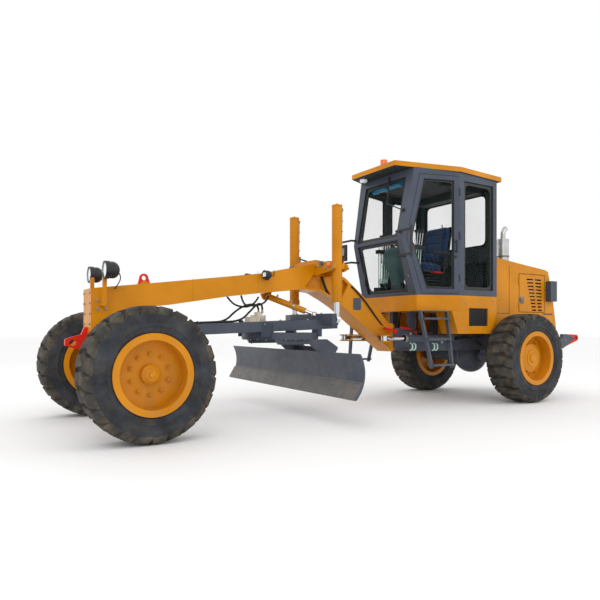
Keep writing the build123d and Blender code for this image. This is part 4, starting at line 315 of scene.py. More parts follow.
ORANGE = tone(204, 130, 0)
SLATE = tone(70, 77, 90)
finishes = {
    "body_paint": paint("orange_paint", ORANGE, 0.30, tone(120, 84, 40)),
    "slate_paint": paint("slate_paint", SLATE, 0.42, tone(140, 143, 148), coat=0.15),
    "red_paint": paint("red_paint", tone(214, 38, 22), 0.32, tone(110, 40, 30)),
    "tyre_rubber": rubber("tyre_side", tone(38, 41, 46), 0.10),
    "tyre_tread": rubber("tyre_tread", tone(48, 46, 43), 0.32, 0.84),
    "tinted_glass": glass("tinted_glass", tone(8, 40, 38), 0.94, 0.12),
    "chrome": metal("chrome", tone(222, 224, 228), 0.10, (0.1, 1.0, 1.0), 90.0),
    "bright_steel": metal("bright_steel", tone(205, 207, 208), 0.26, (1.0, 1.0, 0.05), 120.0,
                          tone(168, 160, 150)),
    "worn_steel": metal("worn_steel", tone(142, 142, 144), 0.5, (0.15, 1.0, 1.0), 30.0, tone(96, 84, 70)),
    "black_plastic": plastic("black_plastic", tone(24, 25, 27), 0.45),
    "hose_rubber": rubber("hose_rubber", tone(22, 22, 24), 0.04, 0.55),
    "seal_rubber": rubber("seal_rubber", tone(18, 19, 20), 0.03, 0.6),
    "amber_lens": lens("amber_lens", tone(232, 96, 14), 0.15),
    "clear_lens": lens("clear_lens", tone(226, 230, 232), 0.25),
    "mirror_glass": metal("mirror_glass", tone(205, 210, 214), 0.04),
    "seat_cloth": cloth("seat_cloth", tone(16, 62, 120), tone(22, 82, 146)),
    "engine_iron": paint("engine_iron", tone(58, 60, 62), 0.5, tone(110, 100, 90), coat=0.0),
    "beige_block": plastic("beige_block", tone(206, 196, 176), 0.5),
    "plated_steel": metal("plated_steel", tone(168, 166, 158), 0.32, (1.0, 1.0, 1.0), 80.0),
    "blue_plastic": plastic("blue_plastic", tone(28, 120, 160), 0.4),
    "pale_plastic": plastic("pale_plastic", tone(176, 210, 198), 0.4),
    "console_plastic": plastic("console_plastic", tone(44, 74, 74), 0.5),
    "lining": plastic("lining", tone(26, 34, 34), 0.7, 0.8),
    "slat_paint": paint("slat_paint", tone(58, 20, 14), 0.5, tone(90, 60, 40), coat=0.0),
    "red_lens": lens("red_lens", tone(176, 18, 12), 0.05),
    "edge_steel": paint("edge_steel", tone(104, 104, 106), 0.40, tone(150, 150, 152), coat=0.0, dusty=0.45),
}


def dress_nodes():
    """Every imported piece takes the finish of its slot."""
    for part in frame["record"]["subparts"]:
        mesh = nodes[part["node"]].data
        mesh.materials.clear()
        mesh.materials.append(finishes[part["material_slot"]])


# Mesh helpers
def settle(name, shape, body, finish, smooth=True):
    """A bmesh made into a piece that rides on a body; finish is one name or a list of them."""
    mesh = bpy.data.meshes.new(name)
    bmesh.ops.recalc_face_normals(shape, faces=shape.faces)
    shape.to_mesh(mesh)
    shape.free()
    names = [finish] if isinstance(finish, str) else finish
    for each in names:
        mesh.materials.append(finishes[each])
    mesh.polygons.foreach_set("use_smooth", [smooth] * len(mesh.polygons))
    piece = put(name, mesh)
    if smooth:
        mesh.set_sharp_from_angle(angle=radians(38))
    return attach(piece, body)


def rounded(piece, width, segments=2):
    """Bevel on a piece's sharp edges."""
    bevel = piece.modifiers.new("edges", "BEVEL")
    bevel.width = width
    bevel.segments = segments
    bevel.limit_method = "ANGLE"
    bevel.angle_limit = radians(35)
    return piece


def add_block(shape, centre, size, turn=None):
    """A block into a bmesh, turned about its middle."""
    made = bmesh.ops.create_cube(shape, size=1.0)["verts"]
    turned = turn or Matrix.Identity(3)
    for corner in made:
        local = Vector([a * b for a, b in zip(corner.co, size)])
        corner.co = turned @ local + Vector(centre)


def add_rod(shape, start, end, radius, segments=16, end_radius=None):
    """A round bar between two points into a bmesh."""
    start, end = Vector(start), Vector(end)
    along = end - start
    made = bmesh.ops.create_cone(
        shape, cap_ends=True, segments=segments, radius1=radius,
        radius2=radius if end_radius is None else end_radius, depth=along.length,
    )["verts"]
    turn = along.to_track_quat("Z", "Y").to_matrix()
    for corner in made:
        corner.co = turn @ corner.co + (start + end) / 2


def add_bolt(shape, foot, axis, radius, height):
    """A hex head on a washer, standing on its foot along an axis."""
    foot, axis = Vector(foot), Vector(axis).normalized()
    add_rod(shape, foot - axis * height * 0.3, foot + axis * height * 0.22, radius * 1.45, 20)
    add_rod(shape, foot, foot + axis * height, radius, 6, radius * 0.94)
    add_rod(shape, foot, foot + axis * height * 1.35, radius * 0.5, 12)


def fitting(shape, foot, way, stages):
    """Stacked round or hex steps on a foot. Columns of a stage: from, to, radius, sides."""
    for start, end, radius, sides in stages:
        add_rod(shape, foot + way * start, foot + way * end, radius, sides)


def squared(value, power):
    """A value from -1 to 1 raised to a power, with its sign kept."""
    return abs(value) ** power * (1 if value >= 0 else -1)


def stitch(shape, rings, closed=False):
    """Faces between each closed ring of corners and the next, back to the first where closed."""
    for near, far in zip(rings, rings[1:] + rings[:1] if closed else rings[1:]):
        for point in range(len(near)):
            after = (point + 1) % len(near)
            shape.faces.new((near[point], near[after], far[after], far[point]))


def cap(top, shoulder, foot, top_radius, radius):
    """The closed profile of a capped disc for add_lathe."""
    return [(CORE, top), (top_radius, top), (radius, shoulder), (radius, foot), (CORE, foot)]


CORE = 0.0005


def add_lathe(shape, profile, centre, axis, segments):
    """A closed profile of (radius, distance along the axis) turned about the axis."""
    centre, axis = Vector(centre), Vector(axis).normalized()
    side = axis.orthogonal().normalized()
    other = axis.cross(side)
    rings = []
    for step in range(segments):
        angle = 2 * pi * step / segments
        out = side * cos(angle) + other * sin(angle)
        rings.append([shape.verts.new(centre + out * r + axis * a) for r, a in profile])
    stitch(shape, rings, True)


def pipe(name, points, radius, body, finish, bends=True):
    """A round line through points, as a smooth curve with closed ends."""
    data = bpy.data.curves.new(name, "CURVE")
    data.dimensions = "3D"
    data.bevel_depth = radius
    data.bevel_resolution = 4
    data.use_fill_caps = True
    data.resolution_u = 10
    spline = data.splines.new("NURBS" if bends else "POLY")
    spline.points.add(len(points) - 1)
    for point, at in zip(spline.points, points):
        point.co = (*at, 1.0)
    if bends:
        spline.order_u = 3
        spline.use_endpoint_u = True
    data.materials.append(finishes[finish])
    piece = put(name, data)
    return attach(piece, body)


trees = {}


def land(node, origin, direction, sure=True):
    """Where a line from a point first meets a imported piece: the point and the face's normal."""
    if node not in trees:
        mesh = nodes[node].data
        corners = [v.co.copy() for v in mesh.vertices]
        trees[node] = BVHTree.FromPolygons(corners, [tuple(p.vertices) for p in mesh.polygons])
    hit, normal, _, _ = trees[node].ray_cast(Vector(origin), Vector(direction).normalized())
    if hit is None and sure:
        raise ValueError(f"no {node} along {tuple(direction)} from {tuple(origin)}")
    return hit, normal


# Tyres
LUGS = 24
LUG_RISE = 0.030
CHEVRON = 0.105
LUG_STATIONS = 16
LUG_SPAN = radians(66)
CARCASS_STEPS = 22
RING_STEPS = 120
WAIST_R = 0.452
BEAD_HALF = 0.163
BEAD_R = 0.353
INNER_R = 0.307


def crown_point(turn, reach, half, rise):
    """Radius and side offset of the tyre's squared crown at an angle from its middle."""
    radius = WAIST_R + (reach + rise) * abs(cos(turn)) ** 0.42
    return radius, (half + rise * 0.2) * squared(sin(turn), 0.5)


def tyre(end, side):
    """A tyre with a rounded carcass and 24 chevron lugs that run out over the shoulders."""
    node = f"tyre_{end}_{side}"
    low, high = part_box(node)
    centre = (low + high) / 2
    reach = (high.z - low.z) / 2 - WAIST_R - LUG_RISE
    half = (high.y - low.y) / 2 - LUG_RISE * 0.2 - 0.002
    shape = bmesh.new()
    profile = []
    for step in range(CARCASS_STEPS + 1):
        turn = radians(-90 + 180 * step / CARCASS_STEPS)
        profile.append(crown_point(turn, reach, half - 0.008, 0.0))
    flank = [
        (WAIST_R - 0.030, half - 0.006), (WAIST_R - 0.038, half - 0.001), (WAIST_R - 0.044, half - 0.008),
        (WAIST_R - 0.066, half - 0.016), (WAIST_R - 0.080, half - 0.020), (BEAD_R + 0.006, BEAD_HALF + 0.006),
        (BEAD_R, BEAD_HALF), (INNER_R, BEAD_HALF - 0.012),
    ]
    profile = [(r, -y) for r, y in reversed(flank)] + profile + flank
    add_lathe(shape, profile, centre, Y, RING_STEPS)
    side_faces = set(shape.faces)
    pitch = 2 * pi / LUGS
    for lug in range(LUGS):
        add_lug(shape, centre, pitch * (lug + 0.5), pitch, reach, half)
    for face in shape.faces:
        if face not in side_faces:
            face.material_index = 1
        elif (face.calc_center_median() - centre).xz.length > WAIST_R + reach * 0.86:
            face.material_index = 1
    piece = settle(node + "_tread", shape, f"wheel_{end}_{side}", ["tyre_rubber", "tyre_tread"])
    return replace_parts(piece, node)


def add_lug(shape, centre, start, pitch, reach, half):
    """One lug: a bar across the crown, its middle ahead of its ends, sloping into both shoulders."""
    rings = []
    for station in range(LUG_STATIONS + 1):
        share = -1 + 2 * station / LUG_STATIONS
        turn = LUG_SPAN * share
        wave = CHEVRON * (1 - abs(share) ** 1.6) + 0.016 * sin(3 * pi * share)
        width = pitch * (0.355 + 0.04 * abs(share))
        fade = min(1.0, (1 - abs(share)) * 5 + 0.12)
        ring = []
        for across, rise in ((-1.16, -0.5), (-1.04, 0.72), (-0.93, 1.0), (0.93, 1.0), (1.04, 0.72),
                             (1.16, -0.5)):
            r, y = crown_point(turn, reach, half, LUG_RISE * (rise if rise < 0 else rise * fade))
            angle = start + wave + width * across
            ring.append(shape.verts.new(centre + Vector((cos(angle) * r, y, sin(angle) * r))))
        rings.append(ring)
    for near, far in zip(rings, rings[1:]):
        for point in range(5):
            shape.faces.new((near[point], near[point + 1], far[point + 1], far[point]))
    shape.faces.new(rings[0])
    shape.faces.new(list(reversed(rings[-1])))


# Wheel nuts and hub details. Columns: end, nut circle, nut size, outer ring, cap ring
WHEEL_NUTS = (
    ("front", 0.172, 0.017, 0.262, 0.060),
    ("rear", 0.232, 0.015, 0.268, 0.120),
)
NUTS = 10


def wheel_fittings(end, side, sign, nut_circle, nut_size, ring_r, cap_r):
    """Nuts on the disc, a raised cap on the hub and the valve stem."""
    rim = f"rim_{end}_{side}"
    low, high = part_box(rim)
    centre = (low + high) / 2
    out = Y * sign
    shape = bmesh.new()
    for nut in range(NUTS):
        angle = 2 * pi * (nut + 0.5) / NUTS
        spot = centre + (X * cos(angle) + Z * sin(angle)) * nut_circle
        foot, _ = land(rim, spot + out * 0.5, -out)
        add_bolt(shape, foot, out, nut_size, nut_size * 1.3)
    face, _ = land(rim, centre + X * cap_r * 0.5 + out * 0.5, -out)
    height = (face - centre).dot(out)
    profile = [(0.002, height - 0.004), (0.002, height + 0.006), (cap_r * 0.30, height + 0.006),
               (cap_r * 0.34, height + 0.002), (cap_r * 0.80, height + 0.002), (cap_r * 0.86, height + 0.007),
               (cap_r * 0.97, height + 0.006), (cap_r, height - 0.004)]
    add_lathe(shape, profile, centre, out, 40)
    foot, _ = land(rim, centre + X * ring_r + out * 0.5, -out)
    add_rod(shape, foot - out * 0.01, foot + out * 0.035 + X * 0.012, 0.005, 10)
    settle(f"wheel_nuts_{end}_{side}", shape, f"wheel_{end}_{side}", "body_paint")


def retouch(node, finish, wanted):
    """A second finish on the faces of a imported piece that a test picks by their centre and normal."""
    mesh = nodes[node].data
    mesh.materials.append(finishes[finish])
    for face in mesh.polygons:
        if wanted(face.center, face.normal):
            face.material_index = len(mesh.materials) - 1


def retouch_nodes():
    """Linings, lamp posts, the motor's head, and the feet of the beacon, the lugs and the blade."""
    retouch("cab_shell", "lining", lambda at, normal: normal.dot(CAB_MIDDLE - at) > 0.15 and normal.z < 0.9)
    retouch("cab_roof", "lining", lambda at, normal: normal.z < -0.8)
    retouch("hood", "engine_iron", lambda at, normal: normal.dot(Vector((at.x, 0, 1.3)) - at) > 0.2)
    retouch("head_lamps", "body_paint", lambda at, normal: at.z < 1.44)
    retouch("circle_drive", "beige_block", lambda at, normal: at.z > 1.07)
    retouch("beacon", "black_plastic", lambda at, normal: at.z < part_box("beacon")[0].z + 0.045)
    retouch("lifting_lug", "body_paint", lambda at, normal: at.z < 1.452)
    retouch("tow_lugs", "slate_paint", lambda at, normal: at.x > -3.545)
    retouch("blade", "edge_steel", lambda at, normal: at.z < 0.458 and normal.x > 0.2)
    for side, _ in SIDES:
        retouch(f"cab_door_{side}", "lining", lambda at, normal: normal.dot(CAB_MIDDLE - at) > 0.3)


def outline(node, least):
    """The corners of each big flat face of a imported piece, with its normal."""
    shape = bmesh.new()
    shape.from_mesh(nodes[node].data)
    bmesh.ops.remove_doubles(shape, verts=shape.verts, dist=0.00002)
    bmesh.ops.dissolve_limit(shape, angle_limit=radians(1), verts=shape.verts, edges=shape.edges)
    big = [face for face in shape.faces if face.calc_area() > least]
    found = [([v.co.copy() for v in face.verts], face.normal.copy()) for face in big]
    shape.free()
    return found


SEAL_R = 0.010
FRIT_T = 0.0016


def glaze(node, body, band, round_r):
    """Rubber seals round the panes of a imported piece, and a black printed band with round corners on each."""
    seals = bmesh.new()
    bands = bmesh.new()
    for corners, normal in outline(node, 0.12):
        middle = sum(corners, Vector()) / len(corners)
        outer = (middle - CAB_MIDDLE).dot(normal) > 0
        for start, end in zip(corners, corners[1:] + corners[:1]):
            add_rod(seals, start, end, SEAL_R, 10)
            bmesh.ops.create_icosphere(seals, subdivisions=2, radius=SEAL_R, matrix=Matrix.Translation(start))
        if outer:
            add_band(bands, corners, normal, band, round_r)
    settle(f"{node}_seals", seals, body, "seal_rubber")
    settle(f"{node}_bands", bands, body, "black_plastic")


def add_band(shape, corners, normal, width, round_r):
    """A flat frame inside a pane's outline, its inner corners rounded."""
    lift = normal * FRIT_T
    rings = []
    count = len(corners)
    for index in range(count):
        at = corners[index]
        back = (corners[index - 1] - at).normalized()
        ahead = (corners[(index + 1) % count] - at).normalized()
        half = back.angle(ahead) / 2
        inward = (back + ahead).normalized()
        inner = at + inward * (width / sin(half))
        reach = round_r / (sin(half) / cos(half))
        start, end = inner + back * reach, inner + ahead * reach
        arc = []
        for step in range(7):
            share = step / 6
            arc.append(start * (1 - share) ** 2 + inner * 2 * share * (1 - share) + end * share ** 2)
        rings.append((at, arc))
    for index in range(count):
        at, arc = rings[index]
        after, next_arc = rings[(index + 1) % count]
        faces = [(at, near, far) for near, far in zip(arc, arc[1:])]
        faces.append((at, arc[-1], next_arc[0], after))
        for face in faces:
            low = [shape.verts.new(point) for point in face]
            high = [shape.verts.new(point + lift) for point in face]
            shape.faces.new(high)
            shape.faces.new(list(reversed(low)))
            for point in range(len(face)):
                other = (point + 1) % len(face)
                shape.faces.new((low[point], low[other], high[other], high[point]))


def cab_trim():
    """Seals, handles, hinges, door struts, bolts, wipers, roof lamp and rain channels."""
    glaze("cab_glass", "rear", 0.042, 0.075)
    for side, sign in SIDES:
        body = f"cab_door_{side}"
        glaze(f"door_glass_{side}", body, 0.026, 0.04)
        handle = bmesh.new()
        foot, out = land(body, (-0.965, sign * 1.2, 2.02), -Y * sign)
        out = out if out.y * sign > 0 else -out
        add_rod(handle, foot - Z * 0.06, foot - Z * 0.06 + out * 0.035, 0.009)
        add_rod(handle, foot + Z * 0.06, foot + Z * 0.06 + out * 0.035, 0.009)
        add_rod(handle, foot - Z * 0.08 + out * 0.035, foot + Z * 0.08 + out * 0.035, 0.011)
        add_rod(handle, foot - Z * 0.13, foot - Z * 0.13 + out * 0.012, 0.018, 24)
        settle(f"door_handle_{side}", handle, body, "black_plastic")
        hinges = bmesh.new()
        for height in (1.62, 2.16, 2.72):
            spot, _ = land("cab_shell", (-1.026, sign * 1.2, height), -Y * sign)
            add_rod(hinges, spot + Y * sign * 0.008 - Z * 0.045, spot + Y * sign * 0.008 + Z * 0.045, 0.011)
            for rise in (-0.028, 0.028):
                add_bolt(hinges, spot + Vector((-0.028, 0, rise)), Y * sign, 0.006, 0.006)
        settle(f"door_hinges_{side}", hinges, "rear", "slate_paint")
        # Gas strut beside the door
        strut = bmesh.new()
        low, high = Vector((-0.46, sign * 0.47, 1.50)), Vector((-0.36, sign * 0.452, 1.66))
        add_rod(strut, low, low.lerp(high, 0.6), 0.011)
        add_rod(strut, low.lerp(high, 0.55), high, 0.005)
        settle(f"door_strut_{side}", strut, "rear", "plated_steel")
        # Small bolts down the side post
        bolts = bmesh.new()
        for height in (1.52, 1.86, 2.30, 2.62, 2.86):
            spot, _ = land("cab_shell", (-1.07, sign * 1.2, height), -Y * sign)
            add_bolt(bolts, spot, Y * sign, 0.0065, 0.005)
        settle(f"post_bolts_{side}", bolts, "rear", "slate_paint")
    wiper = bmesh.new()
    pivot, _ = land("cab_shell", (0.4, 0.430, 2.46), -X)
    elbow = Vector((-0.318, 0.12, 2.60))
    tip = Vector((-0.384, 0.085, 2.96))
    low = Vector((-0.318, 0.125, 2.58))
    add_rod(wiper, pivot - X * 0.02, pivot + X * 0.03, 0.022, 24)
    add_rod(wiper, pivot + X * 0.022, elbow + X * 0.012, 0.008)
    add_rod(wiper, low, tip, 0.009, 8)
    add_rod(wiper, low - X * 0.010, tip - X * 0.010, 0.004, 6)
    add_rod(wiper, Vector((-0.345, -0.26, 1.55)) + X * 0.07, Vector((-0.268, -0.20, 1.93)) + X * 0.075,
            0.009, 8)
    settle("wipers", wiper, "rear", "black_plastic")
    # Lamp under the far front corner of the roof, and rain channels over the doors
    lamp = bmesh.new()
    face, _ = land("cab_roof", (-0.30, -0.33, 2.5), (0, 0, 1))
    add_lathe(lamp, [(CORE, -0.002), (0.052, -0.002), (0.052, 0.020), (0.040, 0.036), (CORE, 0.042)], face,
              -Z, 32)
    settle("roof_lamp", lamp, "rear", "clear_lens")
    for side, sign in SIDES:
        pipe(f"roof_channel_{side}",
             [(-1.72, sign * 0.712, 2.955), (-1.05, sign * 0.712, 2.980), (-0.40, sign * 0.470, 3.000)],
             0.007, "rear", "seal_rubber", False)


def cab_inside():
    """Floor mat, rear shelf, console, wheel, levers, pedals, a rolled blind and the roof's lining."""
    floor = 1.45
    trim = bmesh.new()
    add_block(trim, (-1.06, 0, floor + 0.004), (1.14, 0.84, 0.008))
    for row in range(13):
        add_block(trim, (-0.60 - row * 0.075, 0, floor + 0.010), (0.030, 0.80, 0.006))
    add_block(trim, (-1.655, 0, 1.66), (0.10, 1.15, 0.40))
    add_block(trim, (-1.62, 0, 1.87), (0.16, 1.16, 0.02))
    rounded(settle("floor_mat", trim, "rear", "seal_rubber", False), 0.004)
    cowl = bmesh.new()
    sections = (  # height, front x, rear x, half width
        (1.47, -0.56, -0.66, 0.09), (1.60, -0.55, -0.67, 0.085), (1.74, -0.50, -0.72, 0.10),
        (1.80, -0.465, -0.735, 0.135), (1.95, -0.460, -0.700, 0.150), (2.02, -0.480, -0.665, 0.145), (2.05,
                                                                                                      -0.51,
                                                                                                      -0.63,
                                                                                                      0.12),
    )
    rings = []
    for height, front, back, half in sections:
        ring = []
        for step in range(24):
            angle = 2 * pi * step / 24
            x = (front + back) / 2 + squared(cos(angle), 0.5) * (front - back) / 2
            ring.append(cowl.verts.new((x, squared(sin(angle), 0.5) * half, height)))
        rings.append(ring)
    stitch(cowl, rings)
    cowl.faces.new(rings[0])
    cowl.faces.new(rings[-1])
    settle("console_cowl", cowl, "rear", "console_plastic")
    dials = bmesh.new()
    tilt = Vector((-0.55, 0, 0.83)).normalized()
    for across, along, size in ((-0.07, 0.0, 0.030), (0.0, 0.012, 0.036), (0.07, 0.0, 0.030)):
        centre = Vector((-0.645 + along, across, 2.036))
        add_lathe(dials, [(CORE, 0.002), (size * 0.86, 0.002), (size * 0.88, 0.010), (size, 0.008),
                          (size, -0.02), (CORE, -0.02)], centre, tilt, 28)
    settle("console_dials", dials, "rear", "chrome")
    wheel = bmesh.new()
    hub = Vector((-0.73, 0, 2.08))
    lean = (hub - Vector((-0.60, 0, 1.54))).normalized()
    other = lean.cross(Y)
    ring_r, tube = 0.183, 0.0125
    rim = []
    for step in range(56):
        angle = 2 * pi * step / 56
        out = Y * cos(angle) + other * sin(angle)
        grip = tube * (1 + 0.05 * cos(angle * 28))
        ring = []
        for k in range(12):
            a = 2 * pi * k / 12
            at = hub + lean * 0.012 + out * (ring_r + grip * cos(a)) + lean * grip * sin(a)
            ring.append(wheel.verts.new(at))
        rim.append(ring)
    stitch(wheel, rim, True)
    for angle in (radians(90), radians(210), radians(330)):
        out = Y * cos(angle) + other * sin(angle)
        add_rod(wheel, hub + lean * 0.008, hub + lean * 0.012 + out * ring_r, 0.010, 12)
    add_lathe(wheel, [(CORE, 0.030), (0.030, 0.028), (0.042, 0.018), (0.046, -0.004), (CORE, -0.006)], hub,
              lean, 32)
    knob = hub + lean * 0.012 + (Y * cos(radians(40)) + other * sin(radians(40))) * ring_r
    add_rod(wheel, knob, knob + lean * 0.055, 0.008, 12)
    add_lathe(wheel, [(CORE, 0.075), (0.012, 0.072), (0.018, 0.058), (0.014, 0.044), (CORE, 0.040)], knob,
              lean, 20)
    add_rod(wheel, Vector((-0.61, 0, 1.54)), hub, 0.032, 20)
    add_rod(wheel, Vector((-0.60, 0, 1.452)), Vector((-0.60, 0, 1.54)), 0.088, 24, 0.070)
    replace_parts(settle("steering_wheel", wheel, "rear", "black_plastic"), "steering_column")
    rods, stalks, knobs = bmesh.new(), bmesh.new(), bmesh.new()
    for sign in (1, -1):
        add_block(knobs, (-0.645, sign * 0.30, 1.50), (0.30, 0.09, 0.08))
        add_block(knobs, (-0.650, sign * 0.30, 2.035), (0.26, 0.075, 0.05))
        for lever in range(6):
            along = -0.545 - lever * 0.040
            add_rod(rods, (along + 0.01 * lever, sign * 0.300, 1.53), (along, sign * 0.300, 2.03), 0.0065, 10)
            add_rod(rods, (along + 0.01 * lever, sign * 0.300, 1.60),
                    (along + 0.01 * lever, sign * 0.300, 1.66), 0.010, 6)
            top = Vector((along - 0.022, sign * (0.285 + 0.006 * lever), 2.235 + 0.008 * (lever % 2)))
            add_rod(stalks, (along, sign * 0.300, 2.05), top, 0.0055, 10)
            add_lathe(knobs, [(CORE, 0.030), (0.010, 0.028), (0.016, 0.016), (0.014, 0.002),
                              (0.007, -0.012), (CORE, -0.014)], top, Z, 16)
    settle("lever_rods", rods, "rear", "pale_plastic")
    settle("lever_stalks", stalks, "rear", "chrome")
    settle("lever_knobs", knobs, "rear", "black_plastic")
    pedals = bmesh.new()
    for across in (-0.22, -0.13, 0.18):
        turn = Matrix.Rotation(radians(38), 3, "Y")
        add_block(pedals, (-0.545, across, 1.545), (0.012, 0.062, 0.11), turn)
        for row in range(4):
            add_block(pedals, (-0.560 - row * 0.010, across, 1.572 - row * 0.018), (0.010, 0.058, 0.006),
                      turn)
        add_rod(pedals, (-0.515, across, 1.458), (-0.54, across, 1.54), 0.008, 10)
    rounded(settle("pedals", pedals, "rear", "black_plastic", False), 0.003)
    blind = bmesh.new()
    for start, end, radius in ((-0.36, -0.06, 0.040), (-0.02, 0.20, 0.034)):
        shares = [k / 10 for k in range(11)]
        profile = [(radius * (1 + 0.09 * sin(9 * share)), (end - start) * share) for share in shares]
        add_lathe(blind, [(0.001, 0.0)] + profile + [(0.001, end - start)], (-0.50, start, 2.865), Y, 20)
    settle("rolled_blind", blind, "rear", "blue_plastic")
    roof = bmesh.new()
    add_block(roof, (-1.10, 0.0, 2.895), (1.10, 0.80, 0.022))
    add_block(roof, (-1.58, 0.0, 2.84), (0.16, 1.10, 0.09))
    for across in (-0.36, 0.36):
        add_lathe(roof, [(0.001, -0.012), (0.060, -0.010), (0.075, 0.0), (0.078, 0.012), (0.001, 0.012)],
                  (-1.10, across, 2.885), Z, 28)
    rounded(settle("roof_lining", roof, "rear", "lining"), 0.008)


VOXEL = 0.007
CLOTH_FRAMES = 20
CLOTH_REACH = 0.022
CLOTH_PRESSURE = 4.0
PAD_POWER = 0.34
CHANNEL_WIDTH, CHANNEL_DEPTH = 0.007, 0.009
SEAM_WIDTH, SEAM_DEPTH = 0.006, 0.004
EULER = 2.718281828


def padded_form(size, bolster, turn, centre):
    """A closed soft block with squared round sides; its top rises towards both sides by the bolster."""
    shape = bmesh.new()
    rows, steps = 18, 48
    rings = []
    for row in range(1, rows):
        lift = -pi / 2 + pi * row / rows
        ring = []
        for step in range(steps):
            angle = 2 * pi * step / steps
            x = squared(cos(angle), PAD_POWER) * squared(cos(lift), PAD_POWER) * size[0] / 2
            y = squared(sin(angle), PAD_POWER) * squared(cos(lift), PAD_POWER) * size[1] / 2
            z = squared(sin(lift), PAD_POWER) * size[2] / 2
            if z > 0:
                z += bolster * (abs(2 * y / size[1]) ** 3)
            ring.append(shape.verts.new(Vector(centre) + turn @ Vector((x, y, z))))
        rings.append(ring)
    stitch(shape, rings)
    shape.faces.new(rings[0])
    shape.faces.new(rings[-1])
    bmesh.ops.recalc_face_normals(shape, faces=shape.faces)
    return shape


def blown_pad(name, size, bolster, turn, centre, channels):
    """A cushion: remeshed, blown out by cloth pressure, then its sewn channels and seam pressed in."""
    shape = padded_form(size, bolster, turn, centre)
    mesh = bpy.data.meshes.new(name)
    shape.to_mesh(mesh)
    shape.free()
    piece = put(name, mesh)
    remesh = piece.modifiers.new("remesh", "REMESH")
    remesh.mode = "VOXEL"
    remesh.voxel_size = VOXEL
    flatten(piece)
    start = [v.co.copy() for v in piece.data.vertices]
    cloth = piece.modifiers.new("cloth", "CLOTH")
    cloth.settings.use_pressure = True
    cloth.settings.uniform_pressure_force = CLOTH_PRESSURE
    cloth.settings.effector_weights.gravity = 0.0
    cloth.point_cache.frame_start = 1
    cloth.point_cache.frame_end = CLOTH_FRAMES
    for frame_number in range(1, CLOTH_FRAMES + 1):
        bpy.context.scene.frame_set(frame_number)
    flatten(piece)
    bpy.context.scene.frame_set(1)
    back = turn.transposed()
    for point, vertex in zip(start, piece.data.vertices):
        moved = vertex.co - point
        if moved.length > CLOTH_REACH:
            moved = moved * (CLOTH_REACH / moved.length)
        at = point + moved
        local = back @ (at - Vector(centre))
        pull = 0.0
        for line in channels:
            pull += bell(local.x - line, CHANNEL_WIDTH)
        if local.z > 0 and abs(local.y) < size[1] * 0.46:
            at -= turn @ Z * CHANNEL_DEPTH * min(1.0, pull)
        seam = bell(local.z - size[2] * 0.12, SEAM_WIDTH)
        at -= turn @ Vector((local.x, local.y, 0)).normalized() * SEAM_DEPTH * seam
        vertex.co = at
    subdivision = piece.modifiers.new("smooth", "SUBSURF")
    subdivision.levels = subdivision.render_levels = 1
    flatten(piece)
    piece.data.materials.clear()
    piece.data.materials.append(finishes["seat_cloth"])
    piece.data.polygons.foreach_set("use_smooth", [True] * len(piece.data.polygons))
    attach(piece, "rear")
    return piece


def bell(distance, width):
    """A bell curve's height, 1 in its middle."""
    return EULER ** (-((distance / width) ** 2))


def flatten(piece):
    """Modifiers applied to the mesh."""
    shown = bpy.context.evaluated_depsgraph_get()
    made = bpy.data.meshes.new_from_object(piece.evaluated_get(shown))
    piece.modifiers.clear()
    piece.data = made


SEAT_X = -1.130


def operator_seat():
    """Seat pad and back on a shell, over a bellows, with arm rests and a belt buckle."""
    level = Matrix.Rotation(radians(-3), 3, "Y")
    seat_pad = blown_pad("seat_pad", (0.385, 0.440, 0.080), 0.020, level, (-1.060, 0, 1.800), (-0.09, 0.09))
    rake = Matrix.Rotation(radians(81), 3, "Y")
    back_pad = blown_pad("seat_back", (0.520, 0.420, 0.075), 0.022, rake, (-1.345, 0, 2.145),
                         (-0.12, 0.0, 0.12))
    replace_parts(seat_pad, "operator_seat")
    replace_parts(back_pad, "operator_seat")
    hard = bmesh.new()
    add_block(hard, (-1.070, 0, 1.745), (0.40, 0.44, 0.030), level)
    add_block(hard, (-1.398, 0, 2.120), (0.54, 0.40, 0.022), rake)
    for row in range(7):
        add_block(hard, (SEAT_X, 0, 1.475 + row * 0.038),
                  (0.34 - 0.03 * (row % 2), 0.36 - 0.03 * (row % 2), 0.026))
    add_block(hard, (SEAT_X, 0, 1.456), (0.36, 0.38, 0.012))
    for sign in (1, -1):
        add_block(hard, (-1.180, sign * 0.228, 2.010), (0.28, 0.040, 0.045))
        add_block(hard, (-1.300, sign * 0.224, 1.900), (0.045, 0.022, 0.20))
    rounded(settle("seat_shell", hard, "rear", "black_plastic", False), 0.010, 3)
    red = bmesh.new()
    add_block(red, (SEAT_X, 0.236, 1.735), (0.150, 0.014, 0.030))
    add_block(red, (-1.010, 0.236, 1.730), (0.05, 0.012, 0.018))
    rounded(settle("seat_adjuster", red, "rear", "red_paint", False), 0.005)
    belt = bmesh.new()
    add_block(belt, (-1.235, 0.226, 2.08), (0.006, 0.014, 0.62), Matrix.Rotation(radians(4), 3, "Y"))
    add_block(belt, (-1.245, 0.226, 1.79), (0.03, 0.020, 0.07))
    settle("seat_belt", belt, "rear", "black_plastic")


LIFT_X, LIFT_Y = 0.745, 0.450
BEAM_SIDE = 0.150
